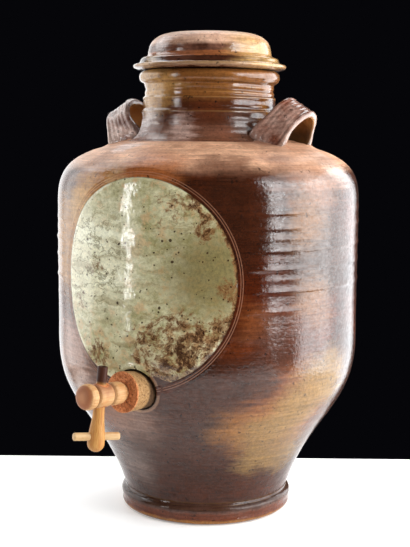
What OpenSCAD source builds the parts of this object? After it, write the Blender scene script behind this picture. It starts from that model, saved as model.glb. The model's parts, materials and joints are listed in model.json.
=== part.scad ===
// Stoneware vinegar crock with a corked wooden tap.
// The crock stands on its foot with the origin under its middle, +Z up and the tap towards -Y.

/* [Crock] */
// Radius of the belly, outside
belly_r = 142.5; // [132:0.5:152]
// Height at which the flaring lower wall becomes upright
belly_low_z = 165; // [155:1:185]
// Height at which the upright wall starts to round into the shoulder
shoulder_z = 295; // [285:1:302]
// Radius of the wall halfway up its flare
flare_r = 113; // [106:0.5:120]
// Height of that point of the flare
flare_z = 86; // [78:1:94]
// Thickness of the fired wall
wall = 9; // [7:0.5:11]
// Thickness of the floor
floor_t = 12; // [9:0.5:16]

/* [Foot ring] */
// Greatest radius of the foot ring
foot_r = 82.3; // [80:0.1:86]
// Height of the foot ring
foot_h = 20; // [16:0.5:24]
// Radius of the opening under the foot
foot_inner_r = 62; // [50:0.5:68]
// How far the crock's own bottom is held off the table
foot_recess = 6; // [4:0.5:9]
// Radius of the wall where it rises out of the foot ring
stem_r = 78.5; // [75:0.1:79]
// Depth of the rebate in which the foot ring is luted to the wall
rebate = 6; // [4:0.5:8]

/* [Neck collar] */
// Height at which the neck collar is seated on the shoulder
neck_seat_z = 352; // [348:0.5:358]
// Radius of the collar's flared base
neck_base_r = 69; // [66:0.5:74]
// Radius of the collar's waist
neck_r = 60; // [58:0.25:63]
// Height of the collar
neck_h = 63.5; // [56:0.5:72]
// Radius of the mouth
mouth_r = 52; // [49:0.5:54]
// Radius of the rim bead
rim_r = 66.2; // [64:0.1:69]
// Radius of the rim bead's own round section
rim_bead_r = 6; // [5:0.25:7]

/* [Handles] */
// Outer radius of the strap's arch
arch_r = 33.5; // [30:0.5:38]
// Thickness of the strap
strap_t = 6.5; // [5:0.25:9]
// Distance of the arch's centre from the collar's waist, at the strap's inner edge
strap_off = 4.5; // [2:0.5:8]
// Height of the arch's centre above the collar's seat, at the strap's inner edge
strap_lift = 11; // [7:0.5:14]
// Width of the strap
strap_w = 27.5; // [24:0.5:34]
// How far the arch leans outwards, in degrees
strap_lean = 32; // [24:1:38]

/* [Glazed disc] */
// Radius of the disc, as a compass draws it on the wall
disc_r = 90.5; // [80:0.5:94]
// Height of the disc's centre
disc_z = 228; // [220:0.5:234]
// How far the disc sits off the line of the tap, in degrees
disc_turn = 1.2; // [-5:0.1:5]
// Thickness of the glaze layer
glaze_t = 0.6; // [0.4:0.1:1]

/* [Lid] */
// Radius of the lid's flange
flange_r = 72; // [69:0.25:76]
// Thickness of the flange
flange_t = 7; // [6:0.25:9]
// Radius of the lid's dome
dome_r = 58; // [56:0.5:62]
// Height of the lid above the rim
lid_h = 36; // [32:0.5:42]
// Thickness of the lid
lid_wall = 7; // [5:0.25:8]
// Radius of the rounded edge of the lid's top
crown_r = 17; // [12:0.5:18]
// How far the locating skirt reaches down into the mouth
skirt_h = 16; // [8:0.5:24]

/* [Cork bung] */
// Height of the tap hole's centre on the wall
tap_z = 136.5; // [130:0.5:150]
// How far the tap points upwards, in degrees
tap_tilt = 4.5; // [0:0.5:8]
// How far the tap is seated askew, in degrees
tap_yaw = 12; // [0:0.5:14]
// Radius of the cork's outer end
cork_r = 18; // [16.5:0.25:20]
// Radius of the cork's inner end
cork_inner_r = 15.5; // [14:0.25:16]
// How far the cork stands out of the wall
cork_out = 18; // [12:0.5:24]
// How far the cork reaches in from the wall's face
cork_in = 24; // [20:0.5:30]
// Width of the bevel around the tap hole
hole_bevel = 2; // [1:0.25:4]

/* [Tap barrel] */
// Radius of the tail that turns in the cork
tail_r = 7.6; // [7:0.1:8]
// How far the tail reaches past the cork's inner end
tail_out = 8; // [4:0.5:14]
// Radius of the bore through the tail
tail_bore_r = 4; // [3:0.1:4.5]
// Radius of the collar
collar_r = 9.8; // [9:0.1:12]
// Length of the collar
collar_l = 14; // [10:0.5:16]
// Radius of the middle of the barrel
barrel_r = 10.2; // [9.6:0.1:11]
// Length of the middle of the barrel
barrel_l = 17; // [16:0.5:24]
// Radius of the front knob
knob_r = 10.9; // [10:0.1:13]
// Length of the front knob's cylinder
knob_l = 8.5; // [6:0.5:12]
// Height of the front knob's dome
knob_dome = 3; // [1.5:0.25:5]
// Length of each turned groove
groove_l = 2; // [1.5:0.1:3]
// Depth of each turned groove
groove_d = 1.4; // [0.8:0.1:1.5]

/* [Key] */
// Radius of the key where it enters the barrel
key_r = 4.8; // [4.6:0.05:5]
// Radius of the key's outlet end
spigot_r = 4.3; // [4.1:0.05:4.5]
// How far the outlet end stands from the tap's axis
spigot_l = 24.5; // [18:0.5:30]
// Radius of the bore through the outlet end, and of the ports
outlet_r = 2.4; // [2:0.05:2.6]
// Greatest radius of the key's bulb
bulb_r = 7.3; // [6.5:0.1:8.5]
// Distance of the bulb's bottom from the tap's axis
key_l = 48; // [46:0.5:54]
// Turn of the barrel that swings the key off the vertical at rest, in degrees
key_hang = 3; // [0:0.5:8]
// Radius of the crossbar
bar_r = 3.4; // [2.8:0.1:3.8]
// Length of the crossbar
bar_l = 41; // [32:0.5:50]
// Distance of the crossbar from the tap's axis
bar_drop = 35; // [33:0.5:38]
// Turn of the crossbar from the line of the tap at rest, in degrees
bar_turn = -25; // [-90:1:90]
// Thickness of the cork lining around the key
seat_t = 1.6; // [1.2:0.1:2]

/* [Clearances] */
// Play of the lid's skirt in the mouth
lid_gap = 1; // [0.5:0.1:2]
// Play of the cork in the tap hole
cork_gap = 0.3; // [0.15:0.05:0.5]
// Running clearance of the tail in the cork and of the key in its lining
run_gap = 0.06; // [0.02:0.01:0.1]

/* [Hidden] */
$fn = 96;
// Straight steps along each curve of an outline
curve_steps = 10;
// Overlap of a cutting shape past the face that it cuts
past = 1;

// Heights and distances that follow from the sizes above
floor_z = foot_recess + floor_t;
rim_z = neck_seat_z + neck_h;
lid_top_z = rim_z + lid_h;
seat_r = key_r + run_gap + seat_t;
collar_at = cork_out + groove_l;
middle_at = collar_at + collar_l + groove_l;
knob_at = middle_at + barrel_l + groove_l;
key_at = middle_at + barrel_l / 2;
tail_end = -cork_in - tail_out;

// How the wall leaves the foot ring, passes the flare and reaches the belly
stem_pull = [9, 25];
flare_pull_below = [16, 23];
flare_pull_above = [19, 27];
belly_pull = 36;
// Where the wall's slope to the neck begins, in from the belly and down from the neck's seat
slope_start = [36, 9.5];
// How the wall rounds over from the belly to that slope, up as shares of the rise between them
shoulder_pull = 0.55;
shoulder_edge = [9, 0.8];
// Rounding of the foot ring's edges, and its lip at the crease under the wall
foot_edge = 5;
foot_lip = 1.2;
// Share of the collar's height that its flare takes, and the height of its second turned step
flare_share = 0.39;
step_share = 0.61;
flare_pull = [4, 12];
step_d = 0.8;
step_h = 1.5;
// Fall of the lid's top from the middle to the edge, and the hollow between flange and dome
lid_fall = 2;
lid_cove = [1.5, 5];
// Straight stretches where the key leaves the barrel and where it swells into the bulb
key_neck = 13;
bulb_swell = 11;

// Points along a curve with four control points, without its first one
function bezier(p, t) = (1 - t)^3 * p[0] + 3 * t * (1 - t)^2 * p[1] + 3 * t^2 * (1 - t) * p[2] + t^3 * p[3];
function curve(p) = [for (i = [1:curve_steps]) bezier(p, i / curve_steps)];

// Points along an arc about a centre, from one angle to another
function arc(c, r, a0, a1) = [for (i = [0:curve_steps])
  let (a = a0 + (a1 - a0) * i / curve_steps) c + r * [cos(a), sin(a)]];

// A path moved sideways by d, to the left of the way it runs
function along(path, i) = path[min(i + 1, len(path) - 1)] - path[max(i - 1, 0)];
function beside(path, d) = [for (i = [0:len(path) - 1])
  let (v = along(path, i)) path[i] + d * [-v[1], v[0]] / norm(v)];

// The crock's outer wall, from the top of the foot ring to the seat of the neck collar
stem = [stem_r, foot_h];
flare = [flare_r, flare_z];
belly_low = [belly_r, belly_low_z];
belly_high = [belly_r, shoulder_z];
slope = [belly_r - slope_start[0], neck_seat_z - slope_start[1]];
shoulder_rise = slope[1] - shoulder_z;
over_edge = [-shoulder_edge[0], shoulder_edge[1] * shoulder_rise];
wall_path = concat([stem],
  curve([stem, stem + stem_pull, flare - flare_pull_below, flare]),
  curve([flare, flare + flare_pull_above, belly_low - [0, belly_pull], belly_low]),
  [belly_high],
  curve([belly_high, belly_high + [0, shoulder_pull * shoulder_rise], belly_high + over_edge, slope]),
  [[neck_base_r, neck_seat_z]]);
inner_path = beside(wall_path, wall);

// Radius of the wall at a height
function wall_r(z) = lookup(z, [for (p = wall_path) [p[1], p[0]]]);

// Radius of the cork at a distance along the tap, measured from the wall
function cork_radius(a) = cork_inner_r + (cork_r - cork_inner_r) * (a + cork_in) / (cork_in + cork_out);

// The crock's outside as a filled solid, with its wall moved out by grow
module crock_form(grow = 0) {
  rotate_extrude()
    polygon(concat([[0, foot_recess], [stem_r - rebate, foot_recess], [stem_r - rebate, foot_h]],
      beside(wall_path, -grow), [[0, neck_seat_z + grow]]));
}

// Outline of the neck collar's outside, from its base to its rim
flare_top = neck_seat_z + neck_h * flare_share;
step_z = neck_seat_z + neck_h * step_share;
bead = [rim_r - rim_bead_r, rim_z - rim_bead_r];
neck_path = concat([[neck_base_r, neck_seat_z]],
  curve([[neck_base_r, neck_seat_z], [neck_base_r - flare_pull[0], neck_seat_z + flare_pull[0]],
    [neck_r + 4 * step_d, flare_top - flare_pull[1]], [neck_r + 4 * step_d, flare_top]]),
  [[neck_r + 3 * step_d, flare_top + step_h], [neck_r + 2 * step_d, step_z]],
  [[neck_r + step_d, step_z + step_h], [neck_r, bead[1] - rim_bead_r - 2 * step_h]],
  arc(bead, rim_bead_r, -78, 90));

// Local frame of the tap: the hole's centre on the wall, with +Z out along the tap
module at_tap() {
  translate([0, -wall_r(tap_z), tap_z])
    rotate([0, 0, -tap_yaw])
      rotate([90 - tap_tilt, 0, 0])
        children();
}

// Local frame of the key: where its axis crosses the tap's, with +Z towards the outlet end
module at_key() {
  at_tap()
    rotate([0, 0, -key_hang])
      translate([0, 0, key_at])
        rotate([-90, 0, 0])
          children();
}

// A cylinder along +Z between two distances
module rod(from, to, r) {
  translate([0, 0, from])
    cylinder(h = to - from, r = r);
}

// The cork's taper between two distances along the tap, with some play
module cork_cone(from, to, play = 0) {
  translate([0, 0, from])
    cylinder(h = to - from, r1 = cork_radius(from) + play, r2 = cork_radius(to) + play);
}

// The tap hole with its bevelled mouth
module tap_hole() {
  mouth = cork_radius(0) + cork_gap;
  at_tap() {
    cork_cone(-cork_in, cork_out, cork_gap);
    translate([0, 0, -hole_bevel])
      cylinder(h = 2 * hole_bevel, r1 = mouth, r2 = mouth + 2 * hole_bevel);
  }
}

module crock_body() {
  color("#7a4a32")
    difference() {
      crock_form();
      rotate_extrude()
        polygon(concat([[0, floor_z], [inner_path[0][0] - past, floor_z]], inner_path,
          [[mouth_r, neck_seat_z - wall], [mouth_r, neck_seat_z + past], [0, neck_seat_z + past]]));
      tap_hole();
    }
}

module foot_ring() {
  bulge = foot_h / 2;
  color("#5f3b26")
    rotate_extrude()
      polygon(concat([[foot_inner_r, 0], [foot_r - foot_edge, 0]],
        arc([foot_r - bulge, bulge], bulge, -35, 40),
        [[stem_r + foot_lip, foot_h - foot_lip], stem],
        [[stem_r - rebate, foot_h], [stem_r - rebate, foot_recess], [foot_inner_r, foot_recess]]));
}

module neck_collar() {
  color("#6b4028")
    rotate_extrude()
      polygon(concat(neck_path, [[mouth_r, rim_z], [mouth_r, neck_seat_z]]));
}

// A strap handle on the +X side, cut to the shoulder and the collar that it is luted to
module strap_handle() {
  color("#5a3422")
    difference() {
      translate([neck_r + strap_off, 0, neck_seat_z + strap_lift])
        rotate([0, 90 + strap_lean, 0])
          linear_extrude(strap_w)
            difference() {
              circle(arch_r);
              circle(arch_r - strap_t);
            }
      crock_form();
      rotate_extrude()
        polygon(concat(neck_path, [[0, rim_z], [0, neck_seat_z]]));
    }
}

module right_handle() {
  strap_handle();
}

module left_handle() {
  mirror([1, 0, 0])
    strap_handle();
}

module glaze_disc() {
  color("#9a9a72")
    difference() {
      intersection() {
        crock_form(glaze_t);
        rotate([0, 0, disc_turn])
          translate([0, -belly_r, disc_z])
            sphere(disc_r);
      }
      crock_form();
      tap_hole();
    }
}

module lid() {
  skirt_r = mouth_r - lid_gap;
  hollow_r = skirt_r - lid_wall;
  edge_r = flange_t / 2;
  crown = [dome_r - crown_r, lid_top_z - lid_fall - crown_r];
  color("#7a4527")
    rotate_extrude()
      polygon(concat([[hollow_r, rim_z - skirt_h], [skirt_r, rim_z - skirt_h], [skirt_r, rim_z]],
        arc([flange_r - edge_r, rim_z + edge_r], edge_r, -90, 90),
        [[dome_r + lid_cove[0], rim_z + flange_t + lid_cove[0]], [dome_r, rim_z + flange_t + lid_cove[1]]],
        arc(crown, crown_r, 0, 80),
        [[0, lid_top_z], [0, lid_top_z - lid_wall], [hollow_r - lid_wall, lid_top_z - lid_wall],
          [hollow_r, lid_top_z - 2 * lid_wall]]));
}

module cork_bung() {
  color("#b98a5e")
    at_tap()
      difference() {
        cork_cone(-cork_in, cork_out);
        rod(-cork_in - past, cork_out + past, tail_r + run_gap);
      }
}

module tap_barrel() {
  dome_ball = (knob_r^2 + knob_dome^2) / (2 * knob_dome);
  color("#c79a63")
    difference() {
      at_tap() {
        rod(tail_end, collar_at, tail_r);
        rod(collar_at, collar_at + collar_l, collar_r);
        rod(collar_at + collar_l, knob_at, barrel_r - groove_d);
        rod(middle_at, middle_at + barrel_l, barrel_r);
        rod(knob_at, knob_at + knob_l, knob_r);
        intersection() {
          rod(knob_at + knob_l, knob_at + knob_l + knob_dome, knob_r);
          translate([0, 0, knob_at + knob_l + knob_dome - dome_ball])
            sphere(dome_ball);
        }
      }
      at_tap()
        rod(tail_end - past, key_at, tail_bore_r);
      at_key()
        rod(-barrel_r - past, barrel_r + past, seat_r);
    }
}

module key_seat_cork() {
  color("#a87450")
    difference() {
      intersection() {
        at_key()
          rod(-barrel_r - past, barrel_r + past, seat_r);
        at_tap()
          rod(middle_at, middle_at + barrel_l, barrel_r);
      }
      at_key()
        translate([0, 0, -barrel_r - past])
          cylinder(h = 2 * (barrel_r + past), r1 = key_r + run_gap, r2 = spigot_r + run_gap);
      at_tap()
        rod(0, key_at, outlet_r);
    }
}

module tap_key() {
  bulb_z = -key_l + bulb_r;
  top = [spigot_r, barrel_r + past];
  low = [key_r, -barrel_r - past];
  color("#c98f4a")
    difference() {
      at_key()
        rotate_extrude()
          polygon(concat([[0, spigot_l], [spigot_r, spigot_l], top, low],
            curve([low, [key_r, low[1] - key_neck], [bulb_r, bulb_z + bulb_swell], [bulb_r, bulb_z]]),
            arc([0, bulb_z], bulb_r, 0, -90)));
      at_key() {
        rod(-outlet_r, spigot_l + past, outlet_r);
        rotate([0, 0, bar_turn]) {
          rotate([0, 90, 0])
            rod(0, 2 * key_r, outlet_r);
          crossbar_rod();
        }
      }
    }
}

// The crossbar's dowel in the key's frame, along the tap before it is turned
module crossbar_rod() {
  translate([0, 0, -bar_drop])
    rotate([90, 0, 0])
      rod(-bar_l / 2, bar_l / 2, bar_r);
}

module key_crossbar() {
  color("#dcb27c")
    at_key()
      rotate([0, 0, bar_turn])
        crossbar_rod();
}

crock_body();
foot_ring();
neck_collar();
left_handle();
right_handle();
glaze_disc();
lid();
cork_bung();
tap_barrel();
key_seat_cork();
tap_key();
key_crossbar();
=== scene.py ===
# %% [markdown]
# # A wood-fired vinegar crock with a wooden tap
# A thrown stoneware pot with a lid, two strap handles, a disc of pale glaze and a turned tap in a cork. The
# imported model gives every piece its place, and this script gives each one its finished form and surface.
# Sizes of pieces are in millimetres, and `MM` turns them into Blender's metres. Lengths inside a finish are
# metres.

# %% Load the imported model
import json
from math import cos, pi, radians, sin, tan
import bpy
import numpy as np
from mathutils import Matrix, Vector
from mathutils.bvhtree import BVHTree


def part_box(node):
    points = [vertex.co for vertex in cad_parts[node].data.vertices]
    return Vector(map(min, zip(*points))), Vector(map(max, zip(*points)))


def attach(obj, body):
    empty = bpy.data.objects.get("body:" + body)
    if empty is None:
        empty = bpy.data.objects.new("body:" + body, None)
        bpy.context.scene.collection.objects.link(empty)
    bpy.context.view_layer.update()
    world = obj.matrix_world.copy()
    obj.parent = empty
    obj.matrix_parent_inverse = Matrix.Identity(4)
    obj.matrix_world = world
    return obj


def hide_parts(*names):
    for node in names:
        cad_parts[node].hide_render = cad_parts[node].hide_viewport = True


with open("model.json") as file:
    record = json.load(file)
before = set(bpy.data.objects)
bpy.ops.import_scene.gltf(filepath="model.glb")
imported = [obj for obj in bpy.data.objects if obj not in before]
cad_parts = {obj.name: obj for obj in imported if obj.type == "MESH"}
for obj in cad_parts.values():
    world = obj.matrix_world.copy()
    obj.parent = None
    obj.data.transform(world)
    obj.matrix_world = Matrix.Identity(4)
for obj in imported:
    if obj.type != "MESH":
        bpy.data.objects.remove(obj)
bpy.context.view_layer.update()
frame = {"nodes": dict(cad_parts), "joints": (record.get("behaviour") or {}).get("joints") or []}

MM = 0.001
NODES = frame["nodes"]
JOINTS = {j["name"]: j for j in frame["joints"]}
print("frame of", len(NODES), "nodes, joints", sorted(JOINTS))

# %% [markdown]
# ## The camera of the photograph
# A camera was fitted to the photo: it stands about a metre in front, a little to the right of the tap, at
# the height of the shoulder, and looks slightly down. It could also be placed by eye. A fitted one is used
# because any pixel of the photo can then be followed along its ray to a point on the crock, which is how
# flashes and stains find their places later.

# %% Camera
PHOTO = (410, 547)
FOCAL_PX = 1125.5
TURN = radians(26)
CAMERA_BACK = 1077.7
CAMERA_UP = 356.2
PITCH = radians(7.03)
YAW = radians(-0.14)
ROLL = radians(0.55)
SPIN = Matrix.Rotation(TURN, 3, "Z")


def put_in_scene(name, data, place=None):
    """A new object in the scene, at a place if one is given."""
    made = bpy.data.objects.new(name, data)
    bpy.context.scene.collection.objects.link(made)
    if place is not None:
        made.matrix_world = place
    return made


look = Vector((sin(YAW) * cos(PITCH), cos(YAW) * cos(PITCH), -sin(PITCH)))
level = Vector((cos(YAW), -sin(YAW), 0))
upward = level.cross(look)
RIGHT = SPIN @ (cos(ROLL) * level + sin(ROLL) * upward)
UP = SPIN @ (-sin(ROLL) * level + cos(ROLL) * upward)
AHEAD = SPIN @ look
EYE = SPIN @ Vector((0, -CAMERA_BACK, CAMERA_UP)) * MM

stand = Matrix.Translation(EYE) @ Matrix((RIGHT, UP, -AHEAD)).transposed().to_4x4()
camera = put_in_scene("camera", bpy.data.cameras.new("camera"), stand)
camera.data.lens = FOCAL_PX * camera.data.sensor_width / max(PHOTO)
bpy.context.scene.camera = camera
bpy.context.scene.view_settings.view_transform = "Standard"
print("lens of", round(camera.data.lens, 2), "mm, eye at", [round(c, 3) for c in EYE])

# %% Following a pixel of the photo to the crock
DISC_PX = (140, 275)
SIGHT = {}
for name in ("crock_body", "neck_collar", "lid", "foot_ring"):
    mesh = NODES[name].data
    SIGHT[name] = BVHTree.FromPolygons([v.co for v in mesh.vertices], [p.vertices for p in mesh.polygons])


def seen(px, py):
    """The point of the crock that a pixel of the photo shows, and the size of a pixel there, in metres."""
    ray = AHEAD * FOCAL_PX + RIGHT * (px - PHOTO[0] / 2) - UP * (py - PHOTO[1] / 2)
    hits = [t.ray_cast(EYE, ray.normalized()) for t in SIGHT.values()]
    hit = min((h for h in hits if h[0]), key=lambda h: h[3])
    return hit[0], hit[3] / FOCAL_PX


print("the disc's middle is seen at", [round(c, 3) for c in seen(*DISC_PX)[0]])

# %% [markdown]
# ## Outlines and turned forms
# Nearly every piece was made on a wheel or a lathe, so one helper does most of the modelling: it turns an
# outline of (radius, height) points about an axis. A Screw modifier could do that too. Here the mesh is
# written directly, because a relief function can then push each point out along the outline's normal, which
# is where throwing rings and the unevenness of clay come from. An outline runs with the outside on its
# right.

# %% Outline helpers
CORNER_STEPS = 6
CORNER_SHARE = 0.45


def bend(p0, p1, p2, p3, steps=24):
    """Points of a curve with four control points, without its first one."""
    t = np.linspace(0, 1, steps + 1)[1:, None]
    p0, p1, p2, p3 = (np.array(p, float) for p in (p0, p1, p2, p3))
    return list((1 - t) ** 3 * p0 + 3 * t * (1 - t) ** 2 * p1 + 3 * t * t * (1 - t) * p2 + t ** 3 * p3)


def arc(centre, r, start, end, steps):
    """Points of an arc, between two angles in degrees."""
    turns = np.radians(np.linspace(start, end, steps + 1))
    return [np.array(centre) + r * np.array((cos(a), sin(a))) for a in turns]


def soften(points, r, closed=False):
    """The same outline with each corner rounded over r."""
    pts = [np.array(p, float) for p in points]
    n = len(pts)
    out = []
    for i, p in enumerate(pts):
        if not closed and i in (0, n - 1):
            out.append(p)
            continue
        before, after = pts[i - 1] - p, pts[(i + 1) % n] - p
        reach = min(r, CORNER_SHARE * np.linalg.norm(before), CORNER_SHARE * np.linalg.norm(after))
        a = p + before / np.linalg.norm(before) * reach
        b = p + after / np.linalg.norm(after) * reach
        out += [(1 - t) ** 2 * a + 2 * t * (1 - t) * p + t * t * b for t in np.linspace(0, 1, CORNER_STEPS)]
    return out


def even(points, step):
    """The same outline with points about a step apart."""
    pts = np.array(points, float)
    run = np.concatenate([[0], np.cumsum(np.linalg.norm(np.diff(pts, axis=0), axis=1))])
    at = np.linspace(0, run[-1], max(2, int(round(run[-1] / step)) + 1))
    return [np.array((np.interp(s, run, pts[:, 0]), np.interp(s, run, pts[:, 1]))) for s in at]


def sparse(points, shown, every):
    """The same outline with only some of its points where shown(r, z) is false; both ends stay."""
    last = len(points) - 1
    return [p for i, p in enumerate(points) if shown(p[0], p[1]) or i % every == 0 or i == last]


print("a softened corner has", len(soften([(0, 0), (1, 0), (1, 1)], 0.2)) - 2, "points")

# %% Smooth steps and noise
def fade(x, lo, hi):
    """0 below lo, 1 above hi, and a smooth step between."""
    t = np.clip((np.asarray(x, float) - lo) / (hi - lo), 0, 1)
    return t * t * (3 - 2 * t)


def hash01(i):
    """A number between 0 and 1 that looks random and is the same in every run."""
    return np.modf(np.abs(np.sin(i * 12.9898 + 4.1414) * 43758.5453))[0]


def uneven(x, y=0.0, z=0.0):
    """Smooth noise between -1 and 1, from a hash of the corners of each cell."""
    cells = [np.floor(c) for c in np.broadcast_arrays(x, y, z)]
    parts = [c - f for c, f in zip(np.broadcast_arrays(x, y, z), cells)]
    share = [p * p * (3 - 2 * p) for p in parts]
    total = 0
    for corner in range(8):
        bits = [(corner >> k) & 1 for k in range(3)]
        weight = 1
        for k in range(3):
            weight = weight * (share[k] if bits[k] else 1 - share[k])
        key = (cells[0] + bits[0]) + 57 * (cells[1] + bits[1]) + 113 * (cells[2] + bits[2])
        total = total + weight * hash01(key)
    return 2 * total - 1


print("noise at three places:", [round(float(uneven(x)), 3) for x in (0.5, 1.5, 2.5)])

# %% Turning an outline into a mesh
def turned(outline, steps, relief=None, closed=False):
    """Vertices in metres and faces of an outline turned about Z; relief(angle, r, z) is in millimetres."""
    line = np.array(outline, float)
    prev, after = np.roll(line, 1, 0), np.roll(line, -1, 0)
    if not closed:
        prev[0], after[-1] = line[0], line[-1]
    way = after - prev
    way /= np.linalg.norm(way, axis=1)[:, None]
    normal = np.stack([way[:, 1], -way[:, 0]], 1)
    angle = np.arange(steps) * 2 * pi / steps
    a, r = np.meshgrid(angle, line[:, 0])
    z = np.repeat(line[:, 1:2], steps, 1)
    push = relief(a, r, z) if relief else 0
    r2, z2 = r + push * normal[:, 0:1], z + push * normal[:, 1:2]
    grid = np.stack([r2 * np.cos(a), r2 * np.sin(a), z2], 2) * MM
    poles = [] if closed else [i for i in (0, len(line) - 1) if line[i, 0] < 1e-6]
    verts = []
    ring = []
    for i in range(len(line)):
        ring.append(len(verts))
        verts += [grid[i].mean(0)] if i in poles else list(grid[i])
    faces = []
    for i in range(len(line) if closed else len(line) - 1):
        k = (i + 1) % len(line)
        for j in range(steps):
            m = (j + 1) % steps
            low = [ring[i]] if i in poles else [ring[i] + j, ring[i] + m]
            high = [ring[k]] if k in poles else [ring[k] + m, ring[k] + j]
            faces.append(low + high)
    return verts, faces


trial = turned([(1, 0), (2, 0), (2, 1)], 8, None, True)
print("a turned ring of 3 points in 8 steps has", len(trial[1]), "faces")

# %% Pieces and cuts
SHARP = radians(50)
CUT_STEPS = 96


def build(name, verts, faces, body, node=None, place=None):
    """A mesh piece that rides on a body and the node it stands for."""
    mesh = bpy.data.meshes.new(name)
    mesh.from_pydata([tuple(v) for v in verts], [], faces)
    mesh.validate()
    mesh.shade_smooth()
    mesh.set_sharp_from_angle(angle=SHARP)
    piece = put_in_scene(name, mesh, place)
    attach(piece, body)
    if node:
        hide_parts(node)
    return piece


def cutter(outline, place):
    """A closed turned shape to cut with, in a local frame."""
    verts, faces = turned(outline, CUT_STEPS)
    mesh = bpy.data.meshes.new("cutter")
    mesh.from_pydata([tuple(v) for v in verts], [], faces)
    return put_in_scene("cutter", mesh, place)


def carve(piece, tool):
    """Cuts a closed shape out of a piece for good, and removes the tool that cut it."""
    cut = piece.modifiers.new("cut", "BOOLEAN")
    cut.operation = "DIFFERENCE"
    cut.solver = "EXACT"
    cut.object = tool
    bpy.context.view_layer.update()
    mesh = bpy.data.meshes.new_from_object(piece.evaluated_get(bpy.context.evaluated_depsgraph_get()))
    piece.modifiers.clear()
    piece.data = mesh
    bpy.data.objects.remove(tool)
    mesh.shade_smooth()
    mesh.set_sharp_from_angle(angle=SHARP)


print("edges over", round(SHARP, 2), "radians stay sharp, and cutters have", CUT_STEPS, "sides")

# %% [markdown]
# ## The crock's wall
# The belly was thrown on a wheel as one wall about 9 mm thick: it flares from a narrow stem above the foot,
# runs upright through the belly and rounds over to the neck. The potter's fingers left soft rings about 15
# mm apart on the belly and fine lines on the shoulder and the flare. Rings could be painted as bump alone.
# They are real relief here, because the long reflections of the lamps break on them.

# %% Outline of the wall
BELLY_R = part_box("crock_body")[1].x / MM
FOOT_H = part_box("foot_ring")[1].z / MM
SEAT_Z, RIM_Z = (c.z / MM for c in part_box("neck_collar"))
STEM = (78.5, FOOT_H)
FLARE = (113, 86)
LOW = (BELLY_R, 165)
HIGH = (BELLY_R, 295)
SLOPE = (BELLY_R - 36, SEAT_Z - 9.5)
NECK_BASE = (69, SEAT_Z)
RISE = SLOPE[1] - HIGH[1]

outside = [np.array(STEM)]
outside += bend(STEM, (STEM[0] + 9, STEM[1] + 25), (FLARE[0] - 16, FLARE[1] - 23), FLARE)
outside += bend(FLARE, (FLARE[0] + 19, FLARE[1] + 27), (LOW[0], LOW[1] - 36), LOW)
outside += [np.array(HIGH)]
outside += bend(HIGH, (HIGH[0], HIGH[1] + 0.55 * RISE), (HIGH[0] - 9, HIGH[1] + 0.8 * RISE), SLOPE)
outside += [np.array(NECK_BASE)]
WALL_LINE = np.array(outside)


def wall_r(z):
    """Radius of the smooth wall at a height."""
    return np.interp(z, WALL_LINE[:, 1], WALL_LINE[:, 0])


print("radius at the stem, the tap and the belly:", [round(float(wall_r(z)), 1) for z in (FOOT_H, 136, 230)])

# %% Frame of the tap
TAP_AXIS = Vector(JOINTS["tap_swivel"]["axis"])
TAP_AT = Vector(JOINTS["tap_swivel"]["pos_m"])


def frame_of(origin, z_axis, x_hint):
    """A local frame with its Z along an axis and its X as near as it can be to a hint."""
    z = Vector(z_axis).normalized()
    x = (Vector(x_hint) - z * z.dot(Vector(x_hint))).normalized()
    return Matrix.Translation(origin) @ Matrix((x, z.cross(x), z)).transposed().to_4x4()


TAP_FRAME = frame_of(TAP_AT, TAP_AXIS, (1, 0, 0))
hole_z = TAP_AT.z / MM
HOLE_FRAME = frame_of(TAP_AT, (0, -1, -(wall_r(hole_z + 1) - wall_r(hole_z - 1)) / 2), (1, 0, 0))
print("the tap hole is", round(hole_z, 1), "mm above the table")

# %% Relief of the wall
WALL = 9
DISC_R = 90.5
DISC_Z = 230.4
LIP_R = 21.6
ARCH_AT = (64.5, 363)
ARCH_R = 30.25
STRAP_W = 27.5
RINGS = ((224, 1.0), (243, 0.9), (259, 1.0), (278, 0.85), (207, 0.4), (291, 0.4), (269, 0.3), (234, 0.3))
RING_W = 1.9


def wall_relief(a, r, z):
    """How far the clay stands off the smooth wall: rings, fine lines, waves, the hole's lip and smears."""
    x, y = r * np.cos(a), r * np.sin(a)
    outer = (r > wall_r(z) - 0.5 * WALL) & (z > FOOT_H)
    waves = 0.40 * uneven(x / 70, y / 70, z / 55) + 0.14 * uneven(x / 24, y / 24, z / 17)
    sway = 1.3 * np.sin(a + 0.6) + 0.7 * uneven(a * 2.5)
    rings = 0
    for at, tall in RINGS:
        rings = rings + tall * (0.7 + 0.45 * uneven(a * 2.2, at)) * np.exp(-((z + sway - at) / RING_W) ** 2)
    off_disc = np.sqrt(x * x + (y + BELLY_R) ** 2 + (z - DISC_Z) ** 2)
    rings = 0.85 * rings * fade(off_disc, DISC_R, DISC_R + 16)
    lines = 0.08 * uneven(z / 2.1 + 0.4 * np.sin(a)) * (1 - fade(z, 120, 170) * (1 - fade(z, 318, 330)))
    joins = fade(z, FOOT_H + 1, FOOT_H + 12) * (1 - fade(z, SEAT_Z - 4, SEAT_Z - 0.5))
    away = np.sqrt((x - TAP_AT.x / MM) ** 2 + (y - TAP_AT.y / MM) ** 2 + (z - TAP_AT.z / MM) ** 2)
    lip = 0.9 * np.exp(-((away - LIP_R) / 2.0) ** 2)
    reach = np.clip(np.abs(x), ARCH_AT[0] + 3, ARCH_AT[0] + STRAP_W - 4)
    foot = np.hypot(np.abs(x) - reach, np.abs(y) - ARCH_R)
    smear = (2.6 + 0.5 * uneven(x / 5, y / 5)) * np.exp(-(foot / 6.5) ** 2) * fade(z, 325, 340)
    return np.where(outer, (waves + rings + lines) * joins + lip + smear, 0)


print("a ring of the belly stands out", round(float(wall_relief(0.0, BELLY_R, 259.0)), 2), "mm at the right")

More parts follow.
